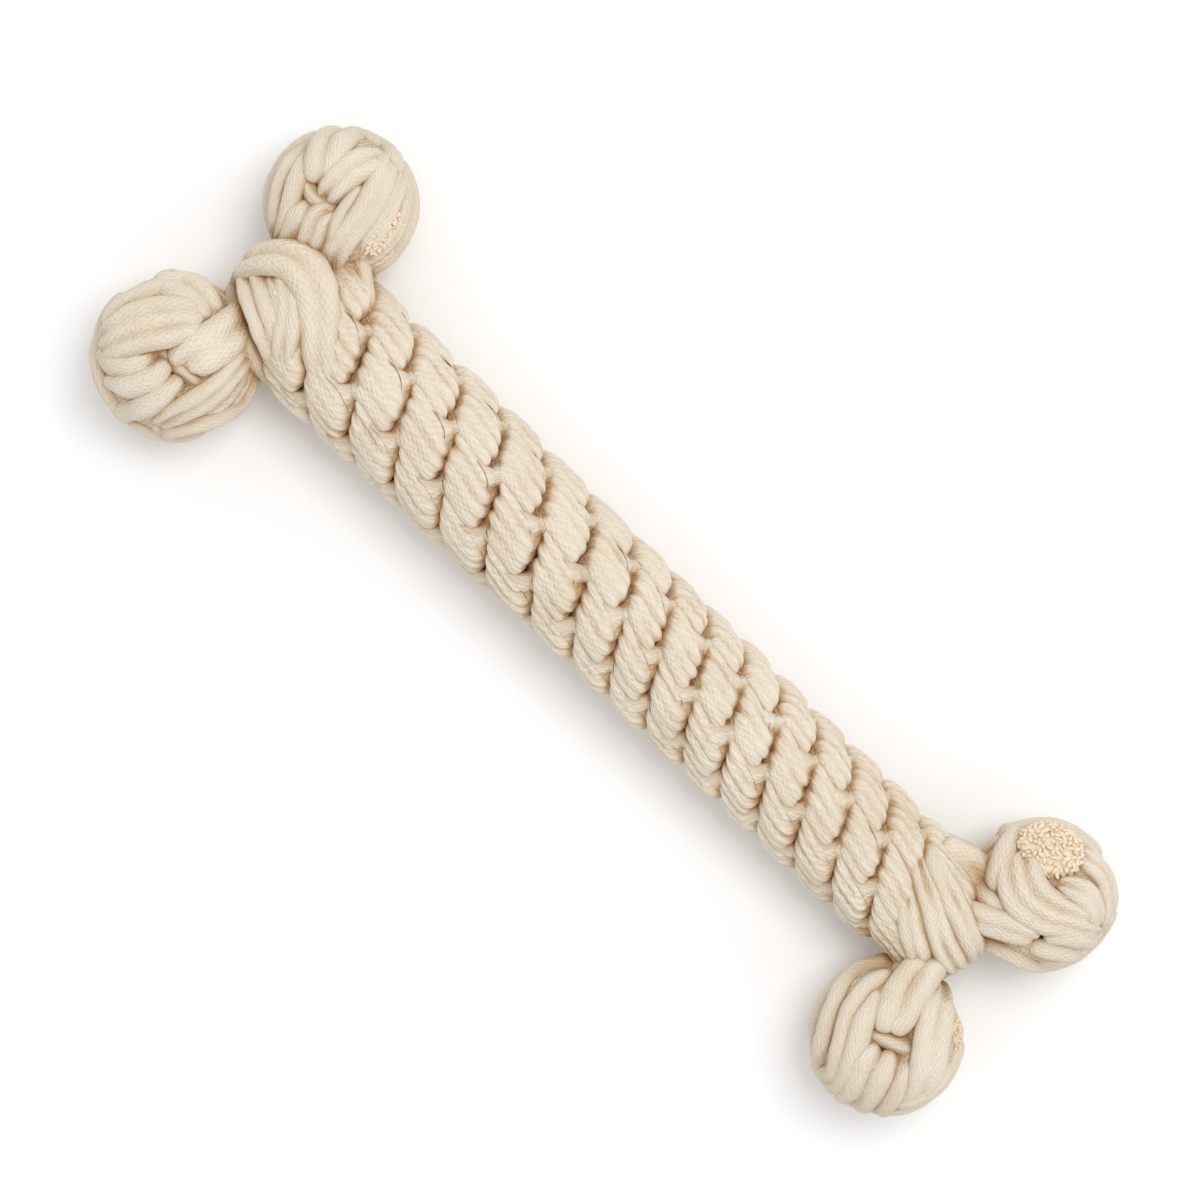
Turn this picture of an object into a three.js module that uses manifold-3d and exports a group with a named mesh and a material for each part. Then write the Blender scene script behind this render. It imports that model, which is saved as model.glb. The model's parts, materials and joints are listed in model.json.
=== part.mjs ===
// Rope dog toy: a bone of soft cotton rope, with a plaited body and two knots at each end.
// Millimetres, +Z up. The toy lies flat: X runs along the body, Y across it.
// The body is a round crown sinnet of four strands. Strands are flat, soft bands of rope.
import * as THREE from 'three';
import { mergeVertices } from 'three/addons/utils/BufferGeometryUtils.js';
import Module from 'manifold-3d';

const wasm = await Module();
wasm.setup();

// Body of the toy
const LEFT_DIAMETER = 41.0;
const RIGHT_DIAMETER = 35.4;
const LEFT_PITCH = 8.36;
const RIGHT_PITCH = 6.84;
const LEFT_CROWNS = 13;
const RIGHT_CROWNS = 18;
const LEFT_TURN_DEGREES = 47.6;
const RIGHT_TURN_DEGREES = 46.7;
const MIDDLE_BIGHT_DEGREES = -22;
const MIDDLE_CROWN = 15;
const PITCH_CHANGE_CROWNS = 2;
const STRANDS = 4;

// Section of a strand in the plait: broad on the outside, pressed flat where it crosses inside
const BIGHT_WIDTH = 11.4;
const BIGHT_THICKNESS = 5.6;
const TURN_WIDTH = 9.2;
const TURN_THICKNESS_SHARE = 0.27;
const ROW_WIDTH = 8.4;
const ROW_THICKNESS_SHARE = 0.25;

// Knots
const UPPER_LEFT_DIAMETER = 41.4;
const LOWER_LEFT_DIAMETER = 45.6;
const UPPER_RIGHT_DIAMETER = 40.8;
const LOWER_RIGHT_DIAMETER = 42.4;
const KNOT_HEIGHT = 43.4;
const KNOT_ROPE_WIDTH = 10.0;
const KNOT_ROPE_THICKNESS = 6.2;
const NECK_WIDTH = 9.0;
const NECK_THICKNESS = 5.5;
const NECK_LEVEL_SHARE = 0.24;
const END_BAND_WIDTH = 13.0;
const END_BAND_THICKNESS = 5.0;

// Reach of each knot's centre beyond the last crown, and its distance to the side of the body axis
const UPPER_LEFT_REACH = 16.4;
const UPPER_LEFT_SPREAD = 28.3;
const LOWER_LEFT_REACH = 20.3;
const LOWER_LEFT_SPREAD = 30.3;
const UPPER_RIGHT_REACH = 17.6;
const UPPER_RIGHT_SPREAD = 22.8;
const LOWER_RIGHT_REACH = 13.3;
const LOWER_RIGHT_SPREAD = 31.8;
const LEFT_BAND_REACH = 24.5;
const RIGHT_BAND_REACH = 16.5;

// Fits
const CLEARANCE = 0.45;
const PLAIT_CLEARANCE = 0.9;
const CORE_EASE = 1.0;
const KNOT_SWING_DEGREES = 12;
const SWING_CLEARANCE = 0.65;
const SWING_STEPS = 3;
const FLAT_DEPTH = 1.2;
const TABLE_REACH = 600;
const TABLE_DEPTH = 60;

const ROPE = new THREE.MeshStandardMaterial({ color: 0xe3c9a0, roughness: 0.95, metalness: 0 });
const ROPE_CORE = new THREE.MeshStandardMaterial({ color: 0xc79b62, roughness: 1, metalness: 0 });
const CUT_ROPE = new THREE.MeshStandardMaterial({ color: 0xecd7b2, roughness: 1, metalness: 0 });

const toy = new THREE.Group();
const CROWNS = LEFT_CROWNS + RIGHT_CROWNS;
const FLEX_FROM_SHARE = 0.42;
const FLEX_TO_SHARE = 0.58;
const FLEX_FROM = Math.round(CROWNS * FLEX_FROM_SHARE);
const FLEX_TO = Math.round(CROWNS * FLEX_TO_SHARE);
const SECTION_SIDES = 6;
const END_CROWNS = 4;
const TURN_STEPS = 1;
const BAND_STEPS = 2;
const CORE_SLICES = 10;
const CORE_RINGS = 7;

// Solids: closed meshes go to the solid library for cuts and come back as geometry
function toSolid(geometry) {
  const bare = geometry.clone();
  bare.deleteAttribute('normal');
  bare.deleteAttribute('uv');
  const merged = mergeVertices(bare);
  const vertProperties = new Float32Array(merged.attributes.position.array);
  const triVerts = new Uint32Array(merged.index.array);
  return new wasm.Manifold(new wasm.Mesh({ numProp: 3, vertProperties, triVerts }));
}

function toGeometry(solid) {
  const mesh = solid.getMesh();
  const geometry = new THREE.BufferGeometry();
  geometry.setAttribute('position', new THREE.BufferAttribute(new Float32Array(mesh.vertProperties), 3));
  geometry.setIndex(new THREE.BufferAttribute(new Uint32Array(mesh.triVerts), 1));
  geometry.computeVertexNormals();
  return geometry;
}

// A cut can leave crumbs beside the rope: only the rope itself is kept
function wholeRope(solid) {
  const parts = solid.decompose();
  return parts.reduce((best, part) => (part.volume() > best.volume() ? part : best));
}

function addRope(name, geometry, material) {
  const mesh = new THREE.Mesh(geometry, material);
  mesh.name = name;
  toy.add(mesh);
}

// A band of rope swept along stations. Each station has its centre, the direction across the
// band, its width and its thickness. Both ends close flat.
function sweepRope(stations, grow) {
  const positions = [];
  const triangles = [];
  const count = stations.length;
  stations.forEach((station, i) => {
    const before = stations[Math.max(i - 1, 0)].at;
    const after = stations[Math.min(i + 1, count - 1)].at;
    const along = station.along ?? new THREE.Vector3().subVectors(after, before).normalize();
    const across = station.across.clone().addScaledVector(along, -along.dot(station.across)).normalize();
    const out = new THREE.Vector3().crossVectors(along, across);
    for (let s = 0; s < SECTION_SIDES; s += 1) {
      const angle = (2 * Math.PI * s) / SECTION_SIDES;
      const ring = station.at.clone();
      ring.addScaledVector(across, Math.cos(angle) * (station.width / 2 + grow));
      ring.addScaledVector(out, Math.sin(angle) * (station.thickness / 2 + grow));
      if (i === 0) ring.addScaledVector(along, -grow);
      if (i === count - 1) ring.addScaledVector(along, grow);
      positions.push(ring.x, ring.y, ring.z);
    }
  });
  for (let i = 0; i < count - 1; i += 1) {
    for (let s = 0; s < SECTION_SIDES; s += 1) {
      const a = i * SECTION_SIDES + s;
      const b = i * SECTION_SIDES + ((s + 1) % SECTION_SIDES);
      const c = a + SECTION_SIDES;
      const d = b + SECTION_SIDES;
      triangles.push(a, b, d, a, d, c);
    }
  }
  const last = (count - 1) * SECTION_SIDES;
  for (let s = 1; s < SECTION_SIDES - 1; s += 1) {
    triangles.push(0, s + 1, s);
    triangles.push(last, last + s, last + s + 1);
  }
  const geometry = new THREE.BufferGeometry();
  geometry.setAttribute('position', new THREE.Float32BufferAttribute(positions, 3));
  geometry.setIndex(triangles);
  return geometry;
}

// Crown sinnet. Crown k is a flat square knot of four rows, turned against the crown before it.
const share = (k) => k / (CROWNS - 1);
const blend = THREE.MathUtils.lerp;
const smooth = THREE.MathUtils.smoothstep;
const crownPitch = (k) => blend(
  LEFT_PITCH,
  RIGHT_PITCH,
  smooth(k, LEFT_CROWNS - PITCH_CHANGE_CROWNS, LEFT_CROWNS + PITCH_CHANGE_CROWNS),
);
const crownTurn = (k) => THREE.MathUtils.degToRad(blend(LEFT_TURN_DEGREES, RIGHT_TURN_DEGREES, share(k)));
const bodyDiameter = (k) => blend(LEFT_DIAMETER, RIGHT_DIAMETER, share(k));
const BODY_Z = KNOT_HEIGHT / 2 - FLAT_DEPTH;
const ALONG_BODY = new THREE.Vector3(1, 0, 0);

const crownX = [0];
const crownAngle = [0];
for (let k = 1; k < CROWNS + 2; k += 1) {
  crownX.push(crownX[k - 1] + crownPitch(k));
  crownAngle.push(crownAngle[k - 1] + crownTurn(k));
}
const BIGHT_START = THREE.MathUtils.degToRad(MIDDLE_BIGHT_DEGREES) - crownAngle[MIDDLE_CROWN];

// A place in the body: along X, turned about the body axis from straight up, at a radius
function onBody(x, angle, radius) {
  return new THREE.Vector3(x, -radius * Math.sin(angle), BODY_Z + radius * Math.cos(angle));
}

function acrossBody(angle, sign) {
  return new THREE.Vector3(0, -Math.cos(angle) * sign, -Math.sin(angle) * sign);
}

// Angle at which strand j enters crown k: it crosses the middle and comes out half a turn
// and one crown's turn further round
function entryAngle(j, k) {
  return BIGHT_START + crownAngle[k] + Math.PI * k + (2 * Math.PI * j) / STRANDS;
}

function strandStations(j, from, to) {
  const stations = [];
  for (let k = from; k < to; k += 1) {
    const sign = k % 2 === 0 ? 1 : -1;
    const pitch = crownPitch(k + 1);
    const diameter = bodyDiameter(k);
    const turnThickness = pitch * TURN_THICKNESS_SHARE;
    const bightRadius = (diameter - BIGHT_THICKNESS) / 2;
    const turnRadius = bightRadius - turnThickness / 2;
    const lift = pitch / 4;
    const entry = entryAngle(j, k);
    const exit = entryAngle(j, k + 1);
    const half = crownTurn(k + 1) / 2;
    const rowAngle = entry + half;
    const rowOffset = turnRadius * Math.sin(half);
    const crossRadius = Math.hypot(rowOffset, rowOffset);
    const crossTurn = Math.PI / 4;
    const rowAcross = acrossBody(rowAngle, sign);
    const row = { across: rowAcross, width: ROW_WIDTH, thickness: pitch * ROW_THICKNESS_SHARE };
    const turn = { width: TURN_WIDTH, thickness: turnThickness };
    const x = crownX[k];
    stations.push({ at: onBody(x + lift, entry, turnRadius), across: acrossBody(entry, sign), ...turn });
    stations.push({ at: onBody(x + lift, rowAngle - crossTurn, crossRadius), ...row });
    stations.push({ at: onBody(x - lift, rowAngle - 3 * crossTurn, crossRadius), ...row });
    stations.push({ at: onBody(x - lift, exit, turnRadius), across: acrossBody(exit, -sign), ...turn });
    stations.push({
      at: onBody(x + pitch / 2, exit, bightRadius),
      across: acrossBody(exit, -sign),
      along: ALONG_BODY,
      width: BIGHT_WIDTH,
      thickness: BIGHT_THICKNESS,
    });
  }
  return stations;
}

// The bight before the first crown starts at the end bands, so a run may open with half a bight
function openingStation(j, k) {
  const sign = k % 2 === 0 ? 1 : -1;
  const entry = entryAngle(j, k);
  const radius = (bodyDiameter(k) - BIGHT_THICKNESS) / 2;
  const x = crownX[k] - crownPitch(k) / 2;
  return {
    at: onBody(x, entry, radius),
    across: acrossBody(entry, sign),
    along: ALONG_BODY,
    width: BIGHT_WIDTH,
    thickness: BIGHT_THICKNESS,
  };
}

// Runs of the plait: left, the short middle that bends, and right
const RUNS = [
  { name: 'left', from: 0, to: FLEX_FROM },
  { name: 'middle', from: FLEX_FROM, to: FLEX_TO },
  { name: 'right', from: FLEX_TO, to: CROWNS },
];
for (let j = 0; j < STRANDS; j += 1) {
  RUNS.forEach((run) => {
    const stations = [openingStation(j, run.from), ...strandStations(j, run.from, run.to)];
    const last = stations[stations.length - 1];
    last.at.x -= CLEARANCE;
    addRope(`strand_${j + 1}_${run.name}_run`, sweepRope(stations, 0), ROPE);
  });
}

// Every rope outside the plait is laid in turn: a later one gives way to those already there
const ENDS = {
  left: { crown: 0, side: -1 },
  right: { crown: CROWNS - 1, side: 1 },
};
const table = new THREE.BoxGeometry(TABLE_REACH, TABLE_REACH, TABLE_DEPTH);
const underTable = toSolid(table.translate(0, 0, -TABLE_DEPTH / 2));

// A smooth route through chosen places becomes stations whose flat side faces away from a centre
function routeStations(places, centre, width, thickness, steps) {
  const curve = new THREE.CatmullRomCurve3(places, false, 'centripetal');
  const count = (places.length - 1) * steps;
  return Array.from({ length: count + 1 }, (_, i) => {
    const at = curve.getPoint(i / count);
    const along = curve.getTangent(i / count);
    const away = new THREE.Vector3().subVectors(at, centre);
    const across = new THREE.Vector3().crossVectors(away, along).normalize();
    return { at, along, across, width, thickness };
  });
}

function giveWay(stations, neighbours) {
  let solid = toSolid(sweepRope(stations, 0));
  neighbours.forEach((neighbour) => {
    solid = solid.subtract(neighbour);
  });
  return wholeRope(solid.subtract(underTable));
}

// The room that a rope takes with its clearance, where it lies or as seen from a knot that swings
function roomOf(stations, grow, turned) {
  const room = sweepRope(stations, grow);
  return toSolid(turned ? room.applyMatrix4(turned) : room);
}

const endStrands = { left: [], right: [] };
for (let j = 0; j < STRANDS; j += 1) {
  endStrands.left.push([openingStation(j, 0), ...strandStations(j, 0, END_CROWNS)]);
  const from = CROWNS - END_CROWNS;
  endStrands.right.push([openingStation(j, from), ...strandStations(j, from, CROWNS)]);
}

// End bands: strands bent round each end of the plait, from its top to its underside.
// Places are shares of the reach past the last crown, and of the body's radius across and up.
const END_BANDS = [
  {
    name: 'left_end_band',
    end: 'left',
    reach: LEFT_BAND_REACH,
    routeShares: [
      [0.2, 0.5, 0.76], [0.55, 0.42, 0.72], [0.86, 0.28, 0.45], [0.93, 0.2, 0], [0.86, 0.2, -0.45],
      [0.55, 0.3, -0.72], [0.2, 0.4, -0.76],
    ],
  },
  {
    name: 'left_fan_band',
    end: 'left',
    reach: LEFT_BAND_REACH,
    routeShares: [
      [0.2, -0.24, 0.86], [0.5, -0.26, 0.82], [0.78, -0.3, 0.45], [0.85, -0.34, 0],
      [0.78, -0.34, -0.45], [0.5, -0.3, -0.82], [0.2, -0.3, -0.86],
    ],
  },
  {
    name: 'right_end_band',
    end: 'right',
    reach: RIGHT_BAND_REACH,
    routeShares: [
      [0.22, 0.0, 0.8], [0.55, -0.05, 0.72], [0.8, -0.05, 0.4], [0.88, -0.05, 0],
      [0.8, -0.05, -0.4], [0.55, 0.0, -0.72], [0.22, 0.0, -0.8],
    ],
  },
];
const bandsLaid = { left: [], right: [] };
const roomsAtEnd = (end) => [
  ...endStrands[end].map((stations) => roomOf(stations, PLAIT_CLEARANCE)),
  ...bandsLaid[end].map((stations) => roomOf(stations, CLEARANCE)),
];
END_BANDS.forEach((band) => {
  const end = ENDS[band.end];
  const radius = bodyDiameter(end.crown) / 2;
  const centre = new THREE.Vector3(crownX[end.crown], 0, BODY_Z);
  const places = band.routeShares.map(([x, y, z]) => new THREE.Vector3(
    crownX[end.crown] + end.side * x * band.reach,
    y * radius,
    BODY_Z + z * radius,
  ));
  const stations = routeStations(places, centre, END_BAND_WIDTH, END_BAND_THICKNESS, BAND_STEPS);
  addRope(band.name, toGeometry(giveWay(stations, roomsAtEnd(band.end))), ROPE);
  bandsLaid[band.end].push(stations);
});

// Knots. Each turn is a route on the knot's round, from above: shares of its half size to the
// right and up the picture, then 1 on the upper face or -1 on the underside, then how far out.
const EDGE_SHARE = 0.84;
const UNDERSIDE = {
  name: 'under_turn',
  widthShare: 1.5,
  routeShares: [[-0.84, 0.1, -1], [-0.42, 0.05, -1], [0, 0, -1], [0.42, -0.05, -1], [0.84, -0.1, -1]],
};
const KNOTS = [
  {
    name: 'upper_left_knot',
    diameter: UPPER_LEFT_DIAMETER,
    end: 'left',
    reach: UPPER_LEFT_REACH,
    spread: UPPER_LEFT_SPREAD,
    neckShares: [[0.3, -0.58, 0.1], [0.55, -0.95, 0.1], [0.75, -1.2, 0]],
    turns: [
      {
        name: 'top_loop',
        widthShare: 1.05,
        routeShares: [
          [-0.1, -0.1, 1, 0.7], [-0.13, 0.12, 1], [-0.17, 0.5, 1], [-0.21, 0.84, 1],
          [-0.23, 0.97, 1], [-0.22, 0.8, -1],
        ],
      },
      {
        name: 'right_turn',
        widthShare: 0.95,
        routeShares: [
          [0.28, 0.8, -1], [0.28, 0.96, 1], [0.33, 0.78, 1], [0.38, 0.45, 1], [0.42, 0.1, 1],
          [0.47, -0.35, 1],
        ],
      },
      {
        name: 'left_inner_turn',
        widthShare: 0.7,
        routeShares: [
          [-0.52, 0.75, -1], [-0.6, 0.66, 1], [-0.56, 0.32, 1], [-0.42, 0.05, 1],
          [-0.28, -0.2, 1, 0.8],
        ],
      },
      {
        name: 'left_middle_turn',
        widthShare: 0.7,
        routeShares: [[-0.8, 0.4, 1], [-0.68, 0.06, 1], [-0.5, -0.25, 1], [-0.32, -0.6, 1]],
      },
      {
        name: 'left_outer_turn',
        widthShare: 0.75,
        routeShares: [[-0.93, 0.25, 1], [-0.9, -0.1, 1], [-0.74, -0.45, 1], [-0.5, -0.76, 1]],
      },
      {
        name: 'lower_cord',
        widthShare: 0.95,
        routeShares: [[-0.02, -0.12, 1, 0.75], [0.03, -0.4, 1], [0.08, -0.7, 1]],
      },
      {
        name: 'cut_end',
        widthShare: 0.85,
        routeShares: [[0.5, 0.72, 1], [0.76, 0.4, 1], [0.82, 0.0, 1], [0.8, -0.2, 1]],
      },
    ],
  },
  {
    name: 'lower_left_knot',
    diameter: LOWER_LEFT_DIAMETER,
    end: 'left',
    reach: LOWER_LEFT_REACH,
    spread: -LOWER_LEFT_SPREAD,
    neckShares: [[0.44, 0.44, 0], [0.85, 0.9, 0], [1.1, 1.15, 0]],
    turns: [
      {
        name: 'neck_tuck',
        widthShare: 1.05,
        routeShares: [[0.3, 0.62, 1], [0.29, 0.38, 1], [0.26, 0.1, 1], [0.25, -0.05, 1, 0.72]],
      },
      {
        name: 'wide_turn',
        widthShare: 1.25,
        routeShares: [
          [0.02, 0.72, 1], [-0.22, 0.45, 1], [-0.5, 0.1, 1], [-0.66, -0.25, 1],
          [-0.68, -0.45, 1, 0.85],
        ],
      },
      {
        name: 'right_turn',
        widthShare: 0.95,
        routeShares: [[0.72, 0.5, 1], [0.82, 0.1, 1], [0.78, -0.3, 1], [0.6, -0.68, 1]],
      },
      {
        name: 'lower_cord',
        widthShare: 1.2,
        routeShares: [[0.2, -0.12, 1, 0.75], [0.14, -0.42, 1], [0.02, -0.74, 1], [-0.06, -0.85, -1]],
      },
      {
        name: 'top_left_turn',
        widthShare: 0.8,
        routeShares: [
          [0.04, 0.7, 1, 0.92], [-0.3, 0.76, 1, 0.93], [-0.6, 0.62, 1, 0.93],
          [-0.78, 0.4, -1, 0.93],
        ],
      },
      {
        name: 'outer_turn',
        widthShare: 0.7,
        routeShares: [[-0.96, 0.0, 1], [-0.9, -0.4, 1], [-0.6, -0.78, 1], [-0.35, -0.92, 1]],
      },
    ],
  },
  {
    name: 'upper_right_knot',
    diameter: UPPER_RIGHT_DIAMETER,
    end: 'right',
    reach: UPPER_RIGHT_REACH,
    spread: UPPER_RIGHT_SPREAD,
    neckShares: [[-0.5, -0.4, 0], [-0.85, -0.62, 0], [-1.15, -0.75, 0]],
    turns: [
      {
        name: 'cut_end',
        widthShare: 1.25,
        thicknessShare: 1.45,
        routeShares: [[-0.36, 0.46, 1, 0.72], [-0.42, 0.54, 1, 0.9], [-0.46, 0.6, 1, 1.08]],
      },
      {
        name: 'end_turn',
        widthShare: 1.05,
        routeShares: [
          [-0.86, 0.2, 1], [-0.6, -0.08, 1], [-0.15, -0.12, 1], [0.33, 0.03, 1], [0.78, 0.08, 1],
        ],
      },
      {
        name: 'half_moon_turn',
        widthShare: 0.75,
        routeShares: [[0.0, 0.32, 1], [0.28, 0.36, 1], [0.56, 0.28, 1]],
      },
      {
        name: 'top_turn',
        widthShare: 0.75,
        routeShares: [[-0.1, 0.86, 1], [0.22, 0.82, 1], [0.55, 0.64, 1], [0.76, 0.36, 1]],
      },
      {
        name: 'right_turn',
        widthShare: 0.85,
        routeShares: [[0.94, 0.1, 1], [0.84, -0.3, 1], [0.5, -0.48, 1], [0.28, -0.45, 1, 0.8]],
      },
      {
        name: 'lower_cord',
        widthShare: 0.85,
        routeShares: [[0.15, -0.36, 1, 0.75], [-0.02, -0.5, 1], [-0.3, -0.62, 1]],
      },
      {
        name: 'outer_turn',
        widthShare: 0.75,
        routeShares: [[0.78, -0.55, 1], [0.4, -0.82, 1], [0.02, -0.9, 1]],
      },
    ],
  },
  {
    name: 'lower_right_knot',
    diameter: LOWER_RIGHT_DIAMETER,
    end: 'right',
    reach: LOWER_RIGHT_REACH,
    spread: -LOWER_RIGHT_SPREAD,
    neckShares: [[-0.3, 0.55, 0], [-0.5, 0.95, 0], [-0.6, 1.25, 0]],
    turns: [
      {
        name: 'neck_tuck',
        widthShare: 1,
        routeShares: [[-0.36, 0.66, 1], [-0.32, 0.42, 1], [-0.25, 0.2, 1], [-0.2, 0.0, 1, 0.74]],
      },
      {
        name: 'wide_turn',
        widthShare: 1.3,
        routeShares: [[0.1, 0.7, 1], [0.26, 0.42, 1], [0.5, 0.02, 1], [0.68, -0.38, 1]],
      },
      {
        name: 'left_inner_turn',
        widthShare: 0.7,
        routeShares: [[-0.64, 0.36, 1], [-0.55, 0.0, 1], [-0.4, -0.36, 1], [-0.22, -0.7, 1]],
      },
      {
        name: 'left_outer_turn',
        widthShare: 0.8,
        routeShares: [[-0.88, 0.38, 1], [-0.9, 0.05, 1], [-0.78, -0.36, 1], [-0.5, -0.72, 1]],
      },
      {
        name: 'lower_cord',
        widthShare: 0.9,
        routeShares: [[-0.02, -0.08, 1, 0.76], [0.05, -0.42, 1], [0.12, -0.8, 1]],
      },
      {
        name: 'lower_outer_cord',
        widthShare: 0.9,
        routeShares: [[0.26, 0.0, 1, 0.8], [0.4, -0.36, 1], [0.46, -0.7, 1]],
      },
      {
        name: 'cut_end',
        widthShare: 0.7,
        thicknessShare: 0.97,
        routeShares: [[0.55, 0.56, 1, 0.8], [0.6, 0.6, 1, 0.95], [0.63, 0.63, 1, 1.06]],
      },
    ],
  },
];

// A turn that isn't tucked in carries on over the knot's edge to its underside
function overTheEdge(route) {
  const beyond = ([x, y]) => {
    const reach = Math.hypot(x, y);
    const onSide = [x / reach, y / reach, 1];
    const below = [(x * EDGE_SHARE) / reach, (y * EDGE_SHARE) / reach, -1];
    return [onSide, below];
  };
  const first = route[0];
  const last = route[route.length - 1];
  const before = first.length === 3 && first[2] === 1 ? beyond(first).reverse() : [];
  const after = last.length === 3 && last[2] === 1 ? beyond(last) : [];
  return [...before, ...route, ...after];
}

KNOTS.forEach((knot) => {
  const end = ENDS[knot.end];
  const centre = new THREE.Vector3(crownX[end.crown] + end.side * knot.reach, knot.spread, BODY_Z);
  const halfAcross = knot.diameter / 2;
  const halfUp = KNOT_HEIGHT / 2;
  const onKnot = ([x, y, face, out = 1], thickness) => {
    const direction = new THREE.Vector3(x, y, face * Math.sqrt(Math.max(0, 1 - x * x - y * y))).normalize();
    const depth = out - thickness / 2 / halfAcross;
    return new THREE.Vector3(
      centre.x + direction.x * depth * halfAcross,
      centre.y + direction.y * depth * halfAcross,
      centre.z + direction.z * depth * halfUp,
    );
  };
  // Neck: two strands side by side, one above the other, from the plait into the knot
  const necks = [-1, 1].map((level) => {
    const places = knot.neckShares.map(([x, y, z]) => new THREE.Vector3(
      centre.x + x * halfAcross,
      centre.y + y * halfAcross,
      centre.z + (z + level * NECK_LEVEL_SHARE) * halfUp,
    ));
    const above = new THREE.Vector3(centre.x, centre.y, centre.z - level * TABLE_DEPTH);
    return routeStations(places, above, NECK_WIDTH, NECK_THICKNESS, BAND_STEPS);
  });
  const still = roomsAtEnd(knot.end);
  necks.forEach((stations, i) => {
    const around = [...still, ...necks.slice(0, i).map((other) => roomOf(other, CLEARANCE))];
    addRope(`${knot.name}_neck_${i + 1}`, toGeometry(giveWay(stations, around)), ROPE);
  });
  // The knot swings about an upright line through the middle of its neck
  const [pivotX, pivotY] = knot.neckShares[1];
  const pivot = new THREE.Vector3(centre.x + pivotX * halfAcross, centre.y + pivotY * halfAcross, 0);
  const swings = Array.from({ length: 2 * SWING_STEPS + 1 }, (_, i) => {
    const degrees = KNOT_SWING_DEGREES * (i / SWING_STEPS - 1);
    const there = new THREE.Matrix4().makeTranslation(pivot);
    const back = new THREE.Matrix4().makeTranslation(pivot.clone().negate());
    const turn = new THREE.Matrix4().makeRotationZ(THREE.MathUtils.degToRad(degrees));
    return there.multiply(turn).multiply(back);
  });
  const passing = [...endStrands[knot.end], ...bandsLaid[knot.end]];
  const nearby = [
    ...still,
    ...swings.flatMap((turned) => passing.map((stations) => roomOf(stations, SWING_CLEARANCE, turned))),
    ...necks.map((stations) => roomOf(stations, CLEARANCE)),
  ];
  // Core: the strands' crossing inside the knot, pressed into a ball
  const coreAcross = halfAcross - KNOT_ROPE_THICKNESS - CORE_EASE;
  const coreUp = halfUp - KNOT_ROPE_THICKNESS - CORE_EASE;
  const ball = (grow) => toSolid(new THREE.SphereGeometry(1, CORE_SLICES, CORE_RINGS)
    .scale(coreAcross + grow, coreAcross + grow, coreUp + grow)
    .rotateX(Math.PI / 2)
    .translate(centre.x, centre.y, centre.z));
  let core = ball(0);
  nearby.forEach((neighbour) => {
    core = core.subtract(neighbour);
  });
  addRope(`${knot.name}_core`, toGeometry(wholeRope(core)), ROPE_CORE);
  nearby.push(ball(CLEARANCE));
  [UNDERSIDE, ...knot.turns].forEach((turn) => {
    const thickness = KNOT_ROPE_THICKNESS * (turn.thicknessShare ?? 1);
    const width = KNOT_ROPE_WIDTH * turn.widthShare;
    const places = overTheEdge(turn.routeShares).map((place) => onKnot(place, thickness));
    const stations = routeStations(places, centre, width, thickness, TURN_STEPS);
    const material = turn.name === 'cut_end' ? CUT_ROPE : ROPE;
    addRope(`${knot.name}_${turn.name}`, toGeometry(giveWay(stations, nearby)), material);
    nearby.push(roomOf(stations, CLEARANCE));
  });
});

// The origin is the middle of the toy's footprint, on the surface that it lies on
const bounds = new THREE.Box3().setFromObject(toy);
const middle = bounds.getCenter(new THREE.Vector3());
toy.position.set(-middle.x, -middle.y, -bounds.min.z);

export default toy;
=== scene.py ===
# Rope dog toy: a bone of soft natural cotton rope, plaited in a round crown sinnet, with two
# knots at each end. The toy lies flat on a pale table and is seen from straight above.
import json
import math

import bpy
import numpy as np
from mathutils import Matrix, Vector


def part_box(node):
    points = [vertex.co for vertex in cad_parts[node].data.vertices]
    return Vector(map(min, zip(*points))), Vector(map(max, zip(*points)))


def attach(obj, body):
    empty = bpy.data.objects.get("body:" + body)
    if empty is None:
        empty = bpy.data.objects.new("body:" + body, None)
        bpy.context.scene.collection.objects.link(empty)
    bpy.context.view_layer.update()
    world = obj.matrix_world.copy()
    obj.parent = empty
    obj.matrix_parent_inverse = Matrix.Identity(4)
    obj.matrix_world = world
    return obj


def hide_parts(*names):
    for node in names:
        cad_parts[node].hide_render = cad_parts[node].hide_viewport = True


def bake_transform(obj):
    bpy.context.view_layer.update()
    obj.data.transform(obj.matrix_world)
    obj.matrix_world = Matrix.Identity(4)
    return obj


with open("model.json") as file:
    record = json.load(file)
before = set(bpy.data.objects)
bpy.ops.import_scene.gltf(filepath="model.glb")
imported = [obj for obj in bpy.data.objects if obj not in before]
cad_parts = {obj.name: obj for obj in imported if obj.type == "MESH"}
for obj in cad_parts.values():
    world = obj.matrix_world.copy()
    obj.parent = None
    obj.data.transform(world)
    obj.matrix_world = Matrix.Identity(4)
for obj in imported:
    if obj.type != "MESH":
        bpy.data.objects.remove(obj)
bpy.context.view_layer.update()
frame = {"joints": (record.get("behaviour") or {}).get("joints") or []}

# The view. The toy is seen from straight above through a long lens, turned on the table so
# that its body runs from the upper left of the picture to the lower right.
PIXEL = 0.0002629
PICTURE_PIXELS = 1200
PICTURE_TURN = math.radians(43.448)
PICTURE_CENTRE = (601.56, 606.12)
AXIS_PIXELS_UP = 5.0
LEVEL_CENTRE_PIXELS = 14.0
LENS = 0.1
SENSOR = 0.036
MILLIMETRES = 1000
body_axis_y = frame["joints"][0]["pos_m"][1]
body_axis_z = frame["joints"][0]["pos_m"][2]
level_origin = Vector((-LEVEL_CENTRE_PIXELS * PIXEL, body_axis_y - AXIS_PIXELS_UP * PIXEL, body_axis_z))
picture_right = Vector((math.cos(PICTURE_TURN), math.sin(PICTURE_TURN), 0))
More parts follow.
